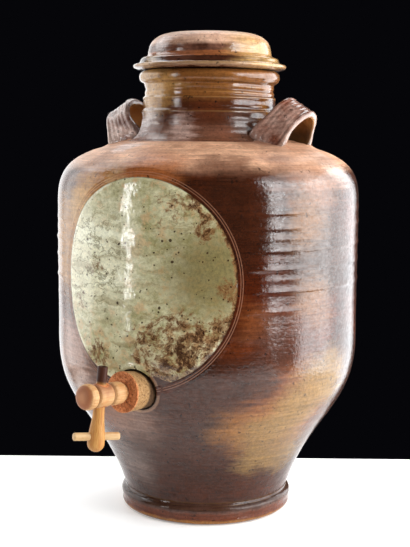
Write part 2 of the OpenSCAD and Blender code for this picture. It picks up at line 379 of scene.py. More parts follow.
# %% The wall as a mesh
MOUTH_R = 52
FLOOR_Z = 18
RECESS = 6
REBATE = 6
WALL_STEP = 1.0
WALL_TURNS = 264

inside = []
for i, p in enumerate(WALL_LINE):
    way = WALL_LINE[min(i + 1, len(WALL_LINE) - 1)] - WALL_LINE[max(i - 1, 0)]
    inside.append(p + WALL * np.array((-way[1], way[0])) / np.hypot(*way))
inside = [p for p in inside if p[0] > MOUTH_R + 1]
floor_r = float(np.interp(FLOOR_Z, [p[1] for p in inside], [p[0] for p in inside]))
inside = [p for p in inside if p[1] > FLOOR_Z + 2]

line = [np.array((0, RECESS)), np.array((STEM[0] - REBATE, RECESS)), np.array((STEM[0] - REBATE, FOOT_H))]
line += sparse(even(outside, WALL_STEP), lambda r, z: 200 < z < 300, 2)
line += [np.array((MOUTH_R, SEAT_Z))] + even(inside[::-1], 6)
line += [np.array((floor_r, FLOOR_Z)), np.array((0, FLOOR_Z))]
verts, faces = turned(line, WALL_TURNS, wall_relief)
crock = build("crock_wall", verts, faces, "crock", "crock_body")
print("crock_wall has", len(crock.data.polygons), "faces before its hole is cut")

# %% The tap hole
CORK_LONG = (-24, 18)
CORK_R = (15.5, 18)
HOLE_PLAY = 0.3
BORE_IN = -26
BORE_OUT = 6


def cork_r(at):
    """Radius of the cork at a distance along the tap, from the wall outwards."""
    return float(np.interp(at, CORK_LONG, CORK_R))


BORE = [(0, BORE_IN), (cork_r(BORE_IN) + HOLE_PLAY, BORE_IN), (cork_r(0) + HOLE_PLAY, 0)]
BORE += [(cork_r(0) + HOLE_PLAY, BORE_OUT), (0, BORE_OUT)]
MOUTH = [(0, -6), (17.2, -6), (18.8, -5), (19.3, -2.4), (19.8, -0.6), (20.6, 0.4)]
MOUTH += [(21.8, 1.5), (21.8, 9), (0, 9)]


def bore_hole(piece):
    """Cuts the tap hole and its rounded mouth out of a piece."""
    carve(piece, cutter(BORE, TAP_FRAME))
    carve(piece, cutter(soften(MOUTH, 0.8), HOLE_FRAME))


bore_hole(crock)
print("crock_wall has", len(crock.data.polygons), "faces with its hole")

# %% [markdown]
# ## The disc of pale glaze and its compass line
# Before firing, a round field was drawn on the belly with a compass, two thin lines were cut around it and
# pale glaze was poured inside. The glaze is a layer about half a millimetre thick that thins at its edge.
# It could be a colour on the wall. It is made as a polar grid laid over the same relief as the wall,
# because a layer of its own catches the light at its edge.

# %% Lying on the wall
DISC_WIDE = 0.955
DISC_TURN = radians(1.2)


def on_wall(rho, phi, lift):
    """Points of the wall at a compass distance and direction from the disc's middle, lifted off the clay."""
    z = DISC_Z + rho * np.sin(phi)
    a = 2 * np.arcsin(np.clip(DISC_WIDE * rho * np.cos(phi) / (2 * BELLY_R), -1, 1)) - pi / 2 + DISC_TURN
    r = wall_r(z)
    lean = np.arctan2(wall_r(z - 0.5) - wall_r(z + 0.5), 1.0)
    out = wall_relief(a, r, z) + lift
    r2, z2 = r + out * np.cos(lean), z + out * np.sin(lean)
    return np.stack([r2 * np.cos(a), r2 * np.sin(a), z2], -1) * MM


def ragged(phi):
    """Edge of the poured glaze as a share of the disc's radius: uneven, and drawn in beside the tap hole."""
    x, y = np.cos(phi), np.sin(phi)
    small = 0.006 * uneven(9 * x, 9 * y, 1.5) + 0.004 * uneven(30 * x, 30 * y)
    turn = np.degrees(phi)
    bite = 0.11 * fade(turn, 252, 262) * (1 - fade(turn, 279, 294))
    return 1 + small - bite


def glaze_lift(rho, phi):
    """Thickness of the glaze: wavy where it was poured, a little pooled near the edge and thin at it."""
    x, y = rho * np.cos(phi), rho * np.sin(phi)
    ripple = 0.12 * uneven(x / 9, y / 7, 3.3) + 0.22 * uneven(x / 26, y / 16, 7.7)
    edge = 1 - fade(rho, DISC_R - 3.2, DISC_R - 0.1)
    pool = 0.18 * np.exp(-((rho - DISC_R + 4.5) / 2.2) ** 2)
    return 0.04 + (0.44 + ripple + pool) * edge


print("the glaze is", round(float(glaze_lift(40.0, 1.0)), 2), "mm thick inside the disc")

# %% Polar sheets
def polar(rows, lifts, steps, middle):
    """Vertices and faces of a closed polar sheet: rows and lifts from the middle out, or round a band."""
    shape = ragged if middle else np.ones_like
    phi = np.arange(steps) * 2 * pi / steps
    verts, faces, starts = [], [], []
    for rho, lift in zip(rows, lifts):
        starts.append(len(verts))
        verts += list(on_wall(rho * shape(phi), phi, lift(rho, phi) if callable(lift) else lift))
    for i in range(len(rows) - 1 if middle else len(rows)):
        k = (i + 1) % len(rows)
        for j in range(steps):
            m = (j + 1) % steps
            faces.append([starts[i] + j, starts[k] + j, starts[k] + m, starts[i] + m])
    if middle:
        for start, flip in ((starts[0], False), (starts[-1], True)):
            hub = len(verts)
            verts.append(np.mean(verts[start:start + steps], 0))
            for j in range(steps):
                tri = [hub, start + j, start + (j + 1) % steps]
                faces.append(tri[::-1] if flip else tri)
    return verts, faces


HUB_R = 1.2
SUNK = -0.5
face_rows = [float(r) for r in np.linspace(HUB_R, DISC_R, 80)]
back_rows = [DISC_R - 1, 60, 30, HUB_R]
verts, faces = polar(face_rows + back_rows, [glaze_lift] * len(face_rows) + [SUNK] * len(back_rows), 260, True)
disc = build("pale_disc", verts, faces, "crock", "glaze_disc")
bore_hole(disc)
print("pale_disc has", len(disc.data.polygons), "faces")

# %% Compass line
RING_ROWS = [(90.0, 0.04), (90.7, 0.16), (92.0, 0.20), (92.5, 0.05), (92.9, 0.05), (93.4, 0.20), (94.0, 0.20)]
RING_ROWS += [(94.5, 0.05), (94.9, 0.05), (95.4, 0.18), (96.5, 0.12), (98.2, 0.02)]

rows = [r for r, _ in RING_ROWS] + [RING_ROWS[-1][0] - 1, RING_ROWS[0][0] + 1]
lifts = [h for _, h in RING_ROWS] + [SUNK, SUNK]
verts, faces = polar(rows, lifts, 300, False)
ring = build("compass_line", verts, faces, "crock")
bore_hole(ring)
print("compass_line has", len(ring.data.polygons), "faces")

# %% [markdown]
# ## Foot ring and neck collar
# The foot is a thick rounded coil joined under the wall with a crease. The neck was thrown as a collar with
# a flared base, two turned steps, fine rings and a rolled rim on which the lid rests. Both could be part of
# the wall's outline. They are turned on their own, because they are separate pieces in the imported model
# too.

# %% Foot ring
FOOT_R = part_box("foot_ring")[1].x / MM
FOOT_IN = 62
FOOT_BEAD = 4.6
THROWN_TURNS = 224
foot_line = [(FOOT_IN, 0), (FOOT_R - FOOT_BEAD, 0), (FOOT_R - 1.6, 1.6), (FOOT_R - 0.7, 4)]
foot_line += [(FOOT_R - 1.2, 7), (FOOT_R - 0.7, 9)] + arc((FOOT_R - FOOT_BEAD, 13), FOOT_BEAD, -20, 72, 14)
foot_line += [(STEM[0] + 1.6, FOOT_H - 2.4), (STEM[0] + 0.2, FOOT_H - 2.6), (STEM[0] - 0.6, FOOT_H + 0.4)]
foot_line += [(STEM[0] - REBATE, FOOT_H), (STEM[0] - REBATE, RECESS), (FOOT_IN, RECESS)]


def foot_relief(a, r, z):
    """Slow waves of a hand-pressed coil, none on the standing face."""
    x, y = r * np.cos(a), r * np.sin(a)
    waves = 0.40 * uneven(x / 30, y / 30, z / 14) + 0.14 * uneven(x / 9, y / 9, z / 5)
    waves = waves + 0.10 * uneven(z / 1.9)
    return waves * fade(z, 1, 5) * (r > STEM[0] + 0.5)


verts, faces = turned(even(soften(foot_line, 1.2, True), WALL_STEP), THROWN_TURNS, foot_relief, True)
foot = build("foot_coil", verts, faces, "crock", "foot_ring")
print("foot_coil has", len(foot.data.polygons), "faces")

# %% Neck collar
BEAD_R = 6
BEAD = (60.2, RIM_Z - BEAD_R)
NECK_DEEP = radians(-30)
THROWN_STEP = 0.85
neck_line = [(79, SEAT_Z - 2.6), (73.5, SEAT_Z - 0.7)]
neck_line += bend((73.5, SEAT_Z - 0.7), (68.5, SEAT_Z + 1.2), (64.2, SEAT_Z + 9), (63.4, SEAT_Z + 20), 14)
neck_line += [(63.6, SEAT_Z + 23.6), (64.4, SEAT_Z + 25.2), (63.3, SEAT_Z + 27.2), (62.3, SEAT_Z + 28.2)]
neck_line += [(62.4, SEAT_Z + 36.2), (62.9, SEAT_Z + 38.0), (61.4, SEAT_Z + 39.4), (61.0, SEAT_Z + 40.2)]
neck_line += [(60.4, SEAT_Z + 45), (60.2, SEAT_Z + 48.2)] + arc(BEAD, BEAD_R, -72, 78, 22)
neck_line += [(MOUTH_R + 2, RIM_Z), (MOUTH_R, RIM_Z - 2.5), (MOUTH_R, SEAT_Z - 3), (70, SEAT_Z - 7)]


def neck_relief(a, r, z):
    """Finger rings, fine lines and slow waves on the outside, none where the lid rests."""
    x, y = r * np.cos(a), r * np.sin(a)
    sway = 0.6 * np.sin(a + 1) + 0.5 * uneven(a * 2)
    upper = fade(z, SEAT_Z + 38, SEAT_Z + 41) * (1 - fade(z, RIM_Z - 11, RIM_Z - 8))
    lower = fade(z, SEAT_Z + 5, SEAT_Z + 9) * (1 - fade(z, SEAT_Z + 34, SEAT_Z + 38))
    deep = 0.22
    for turn in (0, 2 * pi):
        deep = deep + 0.45 * np.exp(-((a - NECK_DEEP - turn) / 0.7) ** 2)
    rings = deep * (1 + 0.4 * uneven(z / 5 + 3)) * upper * np.cos(2 * pi * (z + sway) / 5.4)
    rings = rings + 0.6 * deep * lower * np.cos(2 * pi * (z + sway) / 8)
    rough = 0.30 * uneven(x / 34, y / 34, z / 20) + 0.10 * uneven(z / 1.7 + 0.5 * np.sin(a)) + rings
    return rough * (r > MOUTH_R + 4) * fade(z, SEAT_Z, SEAT_Z + 6) * (1 - fade(z, RIM_Z - 5, RIM_Z - 1))


line = sparse(even(soften(neck_line, 0.9, True), THROWN_STEP), lambda r, z: r > MOUTH_R + 1.5, 4)
verts, faces = turned(line, THROWN_TURNS, neck_relief, True)
neck = build("neck", verts, faces, "crock", "neck_collar")
print("neck has", len(neck.data.polygons), "faces")

# %% [markdown]
# ## Strap handles
# Each handle is a pulled strap of clay: bent into an arch, leaned outwards and pressed to the shoulder with
# the thumbs, so it has raised edges, a furrowed face and feet that spread over the clay. A curve with a
# bevel could make a strap of one section. Here a closed section is swept along the arch, because it has to
# grow thicker and wider towards both feet.

# %% Section of a strap
STRAP_T = 6.5
EDGE_R = 1.6
RIDGES = ((0.05, 0.8, 0.06), (0.24, 0.2, 0.05), (0.40, 0.3, 0.05), (0.58, 0.25, 0.06), (0.76, 0.3, 0.05),
          (0.95, 0.8, 0.05))


def strap_section(f, along):
    """Points (across, out) of the strap's section; f is 0 on the arch and 1 at a foot."""
    across = np.linspace(0, 1, 49)
    face = 0
    for c, tall, broad in RIDGES:
        tall = tall + 0.15 * uneven(along * 0.9 + 9 * c, c * 31)
        face = face + tall * np.exp(-((across - c) / broad) ** 2)
    face = face + 0.15 * uneven(across * 14 + 3, along * 1.5)
    half = STRAP_T / 2
    wide = STRAP_W + 8 * f
    outer = [(s, half + (h - 0.5) * (1 - 0.4 * f) + 4.5 * f * f) for s, h in zip(across, face)]
    inner = [(s, -half + 0.5 * (1 - (2 * s - 1) ** 2) - 1.2 * f * f) for s in across[::-4]]

    def flat(points):
        """A face of the strap, without its rounded edges."""
        return [((s - 0.5) * (wide - 2 * EDGE_R) + STRAP_W / 2, q) for s, q in points]

    def rounded(side, top, low):
        """The rounded edge on one side, between the two faces."""
        turns = np.radians(np.linspace(75 * side, -75 * side, 7))
        edge = STRAP_W / 2 + side * (wide / 2 - EDGE_R)
        return [(edge + side * EDGE_R * cos(t), (top + low) / 2 + (top - low) / 2 * sin(t)) for t in turns]

    loop = flat(outer) + rounded(1, outer[-1][1], inner[0][1])
    return loop + flat(inner) + rounded(-1, outer[0][1], inner[-1][1])


print("a section of the strap has", len(strap_section(0.0, 0.0)), "points")

# %% Handles
ARCH_LEAN = radians(32)
ARCH_END = 106
ARCH_STEPS = 97
ARCH_ACROSS = np.array((sin(pi / 2 + ARCH_LEAN), 0, cos(pi / 2 + ARCH_LEAN)))


def strap(side):
    """Vertices and faces of a handle on the +X side, or mirrored to the -X side."""
    rise = np.array((sin(ARCH_LEAN), 0, cos(ARCH_LEAN)))
    middle = np.array((ARCH_AT[0], 0, ARCH_AT[1]))
    verts, faces = [], []
    turns = np.linspace(-ARCH_END, ARCH_END, ARCH_STEPS)
    for t in turns:
        f = float(fade(abs(t), 58, 102))
        way = sin(radians(t)) * np.array((0, 1, 0)) + cos(radians(t)) * rise
        loop = strap_section(f, t / 20 + 50 * side)
        for s, q in loop:
            p = middle + way * (ARCH_R + q) + ARCH_ACROSS * s
            verts.append(p * (side, 1, 1) * MM)
    n = len(loop)
    for i in range(len(turns) - 1):
        for j in range(n):
            k = (j + 1) % n
            faces.append([i * n + j, i * n + k, (i + 1) * n + k, (i + 1) * n + j])
    faces += [list(range(n))[::-1], [(len(turns) - 1) * n + j for j in range(n)]]
    return verts, [f[::-1] for f in faces] if side > 0 else faces


handles = []
for side, node in ((1, "right_handle"), (-1, "left_handle")):
    verts, faces = strap(side)
    handles.append(build(node + "_strap", verts, faces, "crock", node))
print("a handle has", len(handles[0].data.polygons), "faces")

# %% [markdown]
# ## The lid
# The lid was thrown upside down: a flat flange that rests on the rim, a small cove, a dome with a rounded
# crown and a skirt that keeps it centred in the mouth. A solid dome would do while it is closed. The
# outline runs round the hollow inside too, because that is seen when the lid is lifted.

# %% Lid
LID_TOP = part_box("lid")[1].z / MM
FLANGE_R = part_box("lid")[1].x / MM
SKIRT_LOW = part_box("lid")[0].z / MM
SKIRT_R = MOUTH_R - 1
HOLLOW_R = 44
DOME_R = 58
COVE = (DOME_R - 0.4, RIM_Z + 15.5)
WAIST = (DOME_R - 0.9, RIM_Z + 21)
CROWN = (38, LID_TOP - 1.4)
LEDGE = (FLANGE_R - 9.0, RIM_Z + 11.6)
lid_line = [(0, LID_TOP - 7), (34, LID_TOP - 7.4), (41, LID_TOP - 9.5), (HOLLOW_R, LID_TOP - 14.5)]
lid_line += [(HOLLOW_R, SKIRT_LOW), (SKIRT_R, SKIRT_LOW), (SKIRT_R, RIM_Z + 0.2)]
lid_line += [(FLANGE_R - 6, RIM_Z + 0.5), (FLANGE_R - 1.4, RIM_Z + 2.0)]
lid_line += arc((FLANGE_R - 1.8, RIM_Z + 3.9), 1.7, -45, 80, 6)
lid_line += [(FLANGE_R - 4.6, RIM_Z + 5.8), (FLANGE_R - 5.6, RIM_Z + 7.0), (FLANGE_R - 7.4, RIM_Z + 10.6)]
lid_line += [LEDGE] + bend(LEDGE, (DOME_R + 1.6, RIM_Z + 12.4), (DOME_R, RIM_Z + 13.4), COVE, 8)
lid_line += [(DOME_R - 0.2, RIM_Z + 18), WAIST]
lid_line += bend(WAIST, (DOME_R - 2.2, RIM_Z + 28.5), (DOME_R - 10, LID_TOP - 2.6), CROWN, 18)
lid_line += [(33, LID_TOP - 1.3), (20, LID_TOP - 0.5), (0, LID_TOP)]


def lid_relief(a, r, z):
    """Throwing lines round the dome and slow waves, none on the faces that rest or slide."""
    x, y = r * np.cos(a), r * np.sin(a)
    rings = 0.20 * uneven(z / 2.6 + 0.3 * np.sin(a)) * (r > HOLLOW_R)
    rings = rings + 0.10 * uneven(r / 2.9 + 40) * (r <= HOLLOW_R)
    out = (z > RIM_Z + 3) & ((r > HOLLOW_R + 1) | (z > LID_TOP - 6))
    waves = 0.40 * uneven(x / 33, y / 33, z / 18 + 9) + 0.12 * uneven(x / 11, y / 11, z / 6)
    return np.where(out, (rings + waves) * (1 - fade(z, LID_TOP - 4, LID_TOP)), 0)


def lid_shown(r, z):
    """Whether a point of the lid's outline is on the outside."""
    return z > RIM_Z and r > HOLLOW_R + 1 or z > LID_TOP - 6


line = sparse(even(soften(lid_line, 0.9), THROWN_STEP), lid_shown, 4)
verts, faces = turned(line, THROWN_TURNS, lid_relief)
lid = build("lid_thrown", verts, faces, "lid", "lid")
print("lid_thrown has", len(lid.data.polygons), "faces")

# %% [markdown]
# ## Cork, tap and key
# The tap is a bought-in turned beech tap, set in a bored cork. Each piece is turned about the tap's or the
# key's own axis with soft lathe-rounded edges, and the outlet bore is real. The granules of the cork could
# be bump alone. They stand out a little here, because the cork's rim is seen against the dark mouth of the
# hole.

# %% Cork
TAIL_R = 7.6
TAIL_PLAY = 0.06
cork_line = [(TAIL_R + TAIL_PLAY, CORK_LONG[0]), (CORK_R[0], CORK_LONG[0]), (CORK_R[1], CORK_LONG[1])]
cork_line += [(TAIL_R + TAIL_PLAY, CORK_LONG[1])]


def cork_relief(a, r, z):
    """Granules and pits of the cork, inwards only, and none in its bore."""
    x, y = r * np.cos(a), r * np.sin(a)
    grains = uneven(x / 1.5, y / 1.5, z / 1.5) + 0.6 * uneven(x / 0.8 + 9, y / 0.8, z / 0.8)
    pits = -0.55 * fade(uneven(x / 2.2, y / 2.2 + 5, z / 2.6), 0.35, 0.75)
    return np.where(r > TAIL_R + 0.8, np.minimum(0.10 * grains - 0.16 + pits, 0), 0)


line = sparse(even(soften(cork_line, 1.0, True), 0.6), lambda r, z: r > TAIL_R + 1 and z > -6, 4)
verts, faces = turned(line, 144, cork_relief, True)
cork = build("cork", verts, faces, "bung", "cork_bung", TAP_FRAME)
print("cork has", len(cork.data.polygons), "faces")

# %% Tap barrel with the bore for its key
COLLAR = (20, 34, 9.8)
MIDDLE = (36, 53, 10.2)
KNOB = (55, 63.5, 10.9)
DOME = 3
GROOVE_R = 7.3
WATER_R = 4
TAIL_END = -32
KEY_ALONG = 44.5
KEY_R = 4.8
SEAT_R = KEY_R + 0.06 + 1.6
SEAT_LONG = 13

barrel_line = [(0, KEY_ALONG), (WATER_R, KEY_ALONG), (WATER_R, TAIL_END), (TAIL_R, TAIL_END)]
barrel_line += [(TAIL_R, COLLAR[0] - 0.2)]
for start, end, r in (COLLAR, MIDDLE):
    barrel_line += [(r - 1.6, start), (r - 0.5, start + 1), (r, start + 3.2), (r, end - 3.4)]
    barrel_line += [(r - 0.5, end - 1.2), (r - 1.8, end - 0.2), (GROOVE_R, end + 0.1), (GROOVE_R, end + 1.7)]
start, end, r = KNOB
barrel_line += [(r - 1.8, start - 0.1), (r - 0.5, start + 1.1), (r, start + 3)]
barrel_line += [(r, end - 2.5), (r - 0.8, end - 0.2), (r - 3, end + 1.5)]
barrel_line += bend((r - 3, end + 1.5), (5.4, end + 2.6), (2.5, end + DOME), (0, end + DOME), 8)
line = sparse(even(soften(barrel_line, 0.5), 0.38), lambda r, z: r > TAIL_R + 0.2 or z > KNOB[1], 6)
verts, faces = turned(line, 112)
barrel = build("barrel", verts, faces, "tap", "tap_barrel", TAP_FRAME)

KEY_AT = Vector(JOINTS["key_turn"]["pos_m"])
KEY_AXIS = Vector(JOINTS["key_turn"]["axis"])
KEY_FRAME = frame_of(KEY_AT, KEY_AXIS, (-TAP_AXIS).cross(KEY_AXIS))
seat = [(0, -SEAT_LONG), (SEAT_R, -SEAT_LONG), (SEAT_R, SEAT_LONG), (0, SEAT_LONG)]
carve(barrel, cutter(seat, KEY_FRAME))
print("barrel has", len(barrel.data.polygons), "faces")

# %% Key
SPIGOT = (4.3, 24.5)
OUTLET_R = 2.4
BULB_R = 7.3
BULB_LOW = -48
SHANK = 11.2

bulb_z = BULB_LOW + BULB_R
key_line = arc((0, bulb_z), BULB_R, -90, 0, 14)
key_line += bend((BULB_R, bulb_z), (BULB_R, bulb_z + 11), (KEY_R, -24), (KEY_R, -SHANK), 20)
key_line += [(SPIGOT[0], SHANK), (SPIGOT[0], SPIGOT[1]), (OUTLET_R, SPIGOT[1])]
key_line += [(OUTLET_R, -OUTLET_R), (0, -OUTLET_R)]
line = sparse(even(soften(key_line, 0.6), 0.5), lambda r, z: r > OUTLET_R + 0.2 or z < bulb_z, 6)
verts, faces = turned(line, 80)
key = build("key", verts, faces, "key", "tap_key", KEY_FRAME)
print("key has", len(key.data.polygons), "faces")

# %% Crossbar
BAR_R = 3.4
BAR_LONG = 41
BAR_Z = -35
BAR_TURN = radians(-25)
SHAVED = 0.06

BAR_FRAME = KEY_FRAME @ Matrix.Translation((0, 0, BAR_Z * MM)) @ Matrix.Rotation(BAR_TURN, 4, "Z")
BAR_FRAME = BAR_FRAME @ Matrix.Rotation(radians(90), 4, "X")
half = BAR_LONG / 2
bar_line = [(0, -half), (BAR_R, -half), (BAR_R + 0.02, 0), (BAR_R, half), (0, half)]


def bar_relief(a, r, z):
    """Knife-shaved facets of a whittled dowel."""
    round_it = r > BAR_R * 0.8
    return SHAVED * np.cos(7 * a + 0.06 * z) * round_it - SHAVED * round_it


verts, faces = turned(even(soften(bar_line, 1.1), 0.5), 72, bar_relief)
bar = build("crossbar", verts, faces, "key", "key_crossbar", BAR_FRAME)
print("crossbar has", len(bar.data.polygons), "faces")

# %% [markdown]
# ## Writing finishes as short node graphs
# A material here is a graph of noises and masks in the piece's own coordinates, so it stays with the piece
# when it moves. It could be drawn by hand in the shader editor. The small class below keeps such a graph
# readable as text: each method adds one node, or a few, and gives back an output to use in the next.

# %% Finish helper
def paint(r, g, b):
    """A colour with levels from 0 to 255 as the linear colour that Blender wants."""
    levels = [c / 255 for c in (r, g, b)]
    return tuple(c / 12.92 if c <= 0.04045 else ((c + 0.055) / 1.055) ** 2.4 for c in levels) + (1.0,)


class Finish:
    """A material and short calls that add nodes to it."""

    def __init__(self, name):
        self.material = bpy.data.materials.new(name)
        self.material.use_nodes = True
        self.tree = self.material.node_tree
        self.shader = self.tree.nodes["Principled BSDF"]
        self.at = self.node("TexCoord", out="Object")

    def node(self, kind, out=0, options=None, inputs=None):
        made = self.tree.nodes.new("ShaderNode" + kind)
        for key, value in (options or {}).items():
            setattr(made, key, value)
        for key, value in (inputs or {}).items():
            self.feed(made.inputs[key], value)
        return made.outputs[out]

    def feed(self, socket, value):
        if isinstance(value, bpy.types.NodeSocket):
            self.tree.links.new(value, socket)
        else:
            socket.default_value = value

    def calc(self, what, a, b=0.0):
        return self.node("Math", options={"operation": what}, inputs={0: a, 1: b})

    def times(self, a, b):
        return self.calc("MULTIPLY", a, b)

    def plus(self, a, b):
        return self.calc("ADD", a, b)

    def less(self, a, b):
        return self.calc("SUBTRACT", a, b)

    def most(self, a, b):
        return self.calc("MAXIMUM", a, b)

    def apart(self, a, b):
        """How far two values are from each other."""
        return self.calc("ABSOLUTE", self.less(a, b))

    def vector(self, what, a, b):
        return self.node("VectorMath", options={"operation": what}, inputs={0: a, 1: b})

    def measure(self, what, a, b=(0, 0, 0)):
        """A number from one vector or two: LENGTH, DISTANCE or DOT_PRODUCT."""
        return self.node("VectorMath", "Value", {"operation": what}, {0: a, 1: b})

    def noise(self, scale, detail=3.0, rough=0.55, stretch=None, at=None, out=0):
        place = self.vector("MULTIPLY", at or self.at, stretch) if stretch else (at or self.at)
        inputs = {"Vector": place, "Scale": scale, "Detail": detail, "Roughness": rough}
        return self.node("TexNoise", out, None, inputs)

    def cells(self, scale, out):
        return self.node("TexVoronoi", out, None, {"Vector": self.at, "Scale": scale, "Randomness": 1.0})

    def step(self, value, lo, hi):
        return self.node("MapRange", options={"interpolation_type": "SMOOTHSTEP"},
                         inputs={"Value": value, "From Min": lo, "From Max": hi})

    def mix(self, share, a, b, strength=1.0):
        if strength != 1.0:
            share = self.times(share, strength)
        return self.node("Mix", out=2, options={"data_type": "RGBA"}, inputs={0: share, 6: a, 7: b})

    def spread(self, value, low, high):
        """A noise value, which lies mostly between 0.3 and 0.7, spread over low to high."""
        ends = {"Value": value, "From Min": 0.3, "From Max": 0.7, "To Min": low, "To Max": high}
        return self.node("MapRange", inputs=ends)

    def tint(self, colour, value, low, high):
        """The colour made darker and lighter with a noise value, from low to high."""
        ends = {0: colour, "Scale": self.spread(value, low, high)}
        return self.node("VectorMath", options={"operation": "SCALE"}, inputs=ends)

    def gap(self, point, at=None):
        return self.measure("DISTANCE", at or self.at, tuple(point))

    def near(self, point, full, none, at=None):
        return self.step(self.gap(point, at), none, full)

    def near_pixel(self, pixel, full, none, at=None):
        """A mask round the place that a pixel of the photo shows, with its two reaches in pixels."""
        point, size = seen(*pixel)
        return self.near(point, full * size, none * size, at)

    def axis(self, name, at=None):
        return self.node("SeparateXYZ", out=name, inputs={0: at or self.at})

    def wander(self, scale, reach, stretch=None):
        """The piece's own coordinates, shaken by noise, so that masks get uneven edges."""
        shake = self.vector("SUBTRACT", self.noise(scale, 4.0, 0.6, stretch, out="Color"), (0.5, 0.5, 0.5))
        return self.vector("ADD", self.at, self.vector("MULTIPLY", shake, (reach, reach, reach)))

    def bump(self, height, depth, strength=1.0):
        return self.node("Bump", inputs={"Height": height, "Distance": depth, "Strength": strength})

    def fed(self, name):
        """The output that feeds an input of the shader."""
        return self.shader.inputs[name].links[0].from_socket

    def refeed(self, name, value):
        self.feed(self.shader.inputs[name], value)

    def end(self, colour, rough, normal=None, ior=1.5, shine=0.5):
        self.refeed("Base Color", colour)
        self.refeed("Roughness", rough)
        self.refeed("IOR", ior)
        self.refeed("Specular IOR Level", shine)
        if normal:
            self.refeed("Normal", normal)

    def put_on(self, *pieces):
        for piece in pieces:
            piece.data.materials.clear()
            piece.data.materials.append(self.material)


print("mid grey 128 is", round(paint(128, 128, 128)[0], 3), "in linear colour")

# %% [markdown]
# ## Wood-fired stoneware
# In a wood kiln, ash and flame paint the pot: chocolate brown where the glaze ran thick, rust and orange
# where the flame licked, yellow ochre where ash settled. The base mixes slow clouds with fine level streaks
# from throwing, raised edges fire paler, and the shoulder and the crown are drier than the wall. It could
# be painted as a picture. A graph is used because it has no seam and stays sharp close up. The photo
# doesn't show the back, so its flashes are guessed from noise, in the colours of the front.

# %% Colours of the kiln
CHOCOLATE = paint(54, 25, 12)
RUST = paint(92, 40, 15)
PLUM = paint(88, 56, 45)
HAZE = paint(64, 48, 41)
OCHRE = paint(184, 144, 88)
GOLD = paint(148, 98, 46)
ORANGE = paint(160, 92, 48)
TAN = paint(224, 174, 140)
DARK = paint(24, 12, 8)
ASH = paint(186, 168, 150)
DRY_STREAK = paint(126, 76, 50)
DRY_PATCH = paint(140, 88, 60)
print("chocolate is", [round(c, 3) for c in CHOCOLATE[:3]], "in linear colour")

# %% Streaks, flames and wear
GRAIN = 0.26
AWAY = SPIN @ Vector((0, 1, 0))
BACK_FLAMES = ((9.0, ORANGE, 0.55), (13.0, GOLD, 0.6))


def level_lines(f, fine):
    """Streaks that follow the wheel: level on the walls and round the axis on the shoulder and the crown."""
    height = f.axis("Z")
    reach = f.measure("LENGTH", f.vector("MULTIPLY", f.at, (1, 1, 0)))
    turn_in = f.times(reach, 0.3)
    level = f.less(height, f.times(turn_in, f.step(height, 0.28, 0.31)))
    across = {"X": f.times(f.axis("X"), 16.0), "Y": f.times(f.axis("Y"), 16.0), "Z": f.times(level, fine)}
    return f.noise(1.0, 4.0, 0.7, at=f.node("CombineXYZ", inputs=across))


def flames_behind(f, colour, loose):
    """Guessed flashes on the side that the photo doesn't show."""
    unseen = f.step(f.measure("DOT_PRODUCT", f.at, tuple(AWAY)), 0.02, 0.07)
    for scale, tint, strength in BACK_FLAMES:
        flame = f.step(f.noise(scale, 4.0, 0.55, (1, 1, 1.3), loose), 0.52, 0.70)
        colour = f.mix(f.times(unseen, flame), colour, tint, strength)
    return colour


def worn(f, colour, lines, edge, hollow_pool_and_shade):
    """Dark clouds, streaks, grit, pale raised edges, specks, and hollows darkened by pooled glaze and painted
    shade.
    """
    colour = f.mix(f.step(f.noise(30, 5.0, 0.65, (1, 1, 3)), 0.56, 0.72), colour, DARK, 0.35)
    broad = level_lines(f, 190.0)
    grit = f.noise(330, 5.0, 0.8)
    for value, share in ((lines, 1.0), (broad, 0.45), (grit, 1.3)):
        colour = f.tint(colour, value, 1.0 - share * GRAIN, 1.0 + share * GRAIN)
    sharp = f.node("NewGeometry", out="Pointiness")
    colour = f.mix(f.step(sharp, 0.515, 0.57), colour, OCHRE, edge)
    # Hollows turn dark: pooled glaze, and painted shade where less light reaches.
    colour = f.mix(f.step(sharp, 0.485, 0.43), colour, DARK, hollow_pool_and_shade)
    return f.mix(f.step(f.noise(250, 2.0, 0.5), 0.66, 0.72), colour, DARK, 0.7)


print("flames on the back:", len(BACK_FLAMES))

# %% Stoneware
def dry_top(f, colour, shine, gleam, top, rougher):
    """Thin, dry glaze on a shoulder or a crown: rougher and less shiny, with streaks and patches."""
    shine = f.plus(shine, f.times(top, rougher))
    thin = f.times(f.step(level_lines(f, 360.0), 0.48, 0.60), top)
    colour = f.mix(thin, colour, DRY_STREAK, 0.35)
    patches = f.times(f.step(f.noise(36, 5.0, 0.65), 0.46, 0.66), top)
    colour = f.mix(patches, colour, DRY_PATCH, 0.5)
    return colour, shine, f.times(gleam, f.less(1.0, f.times(top, 0.65)))


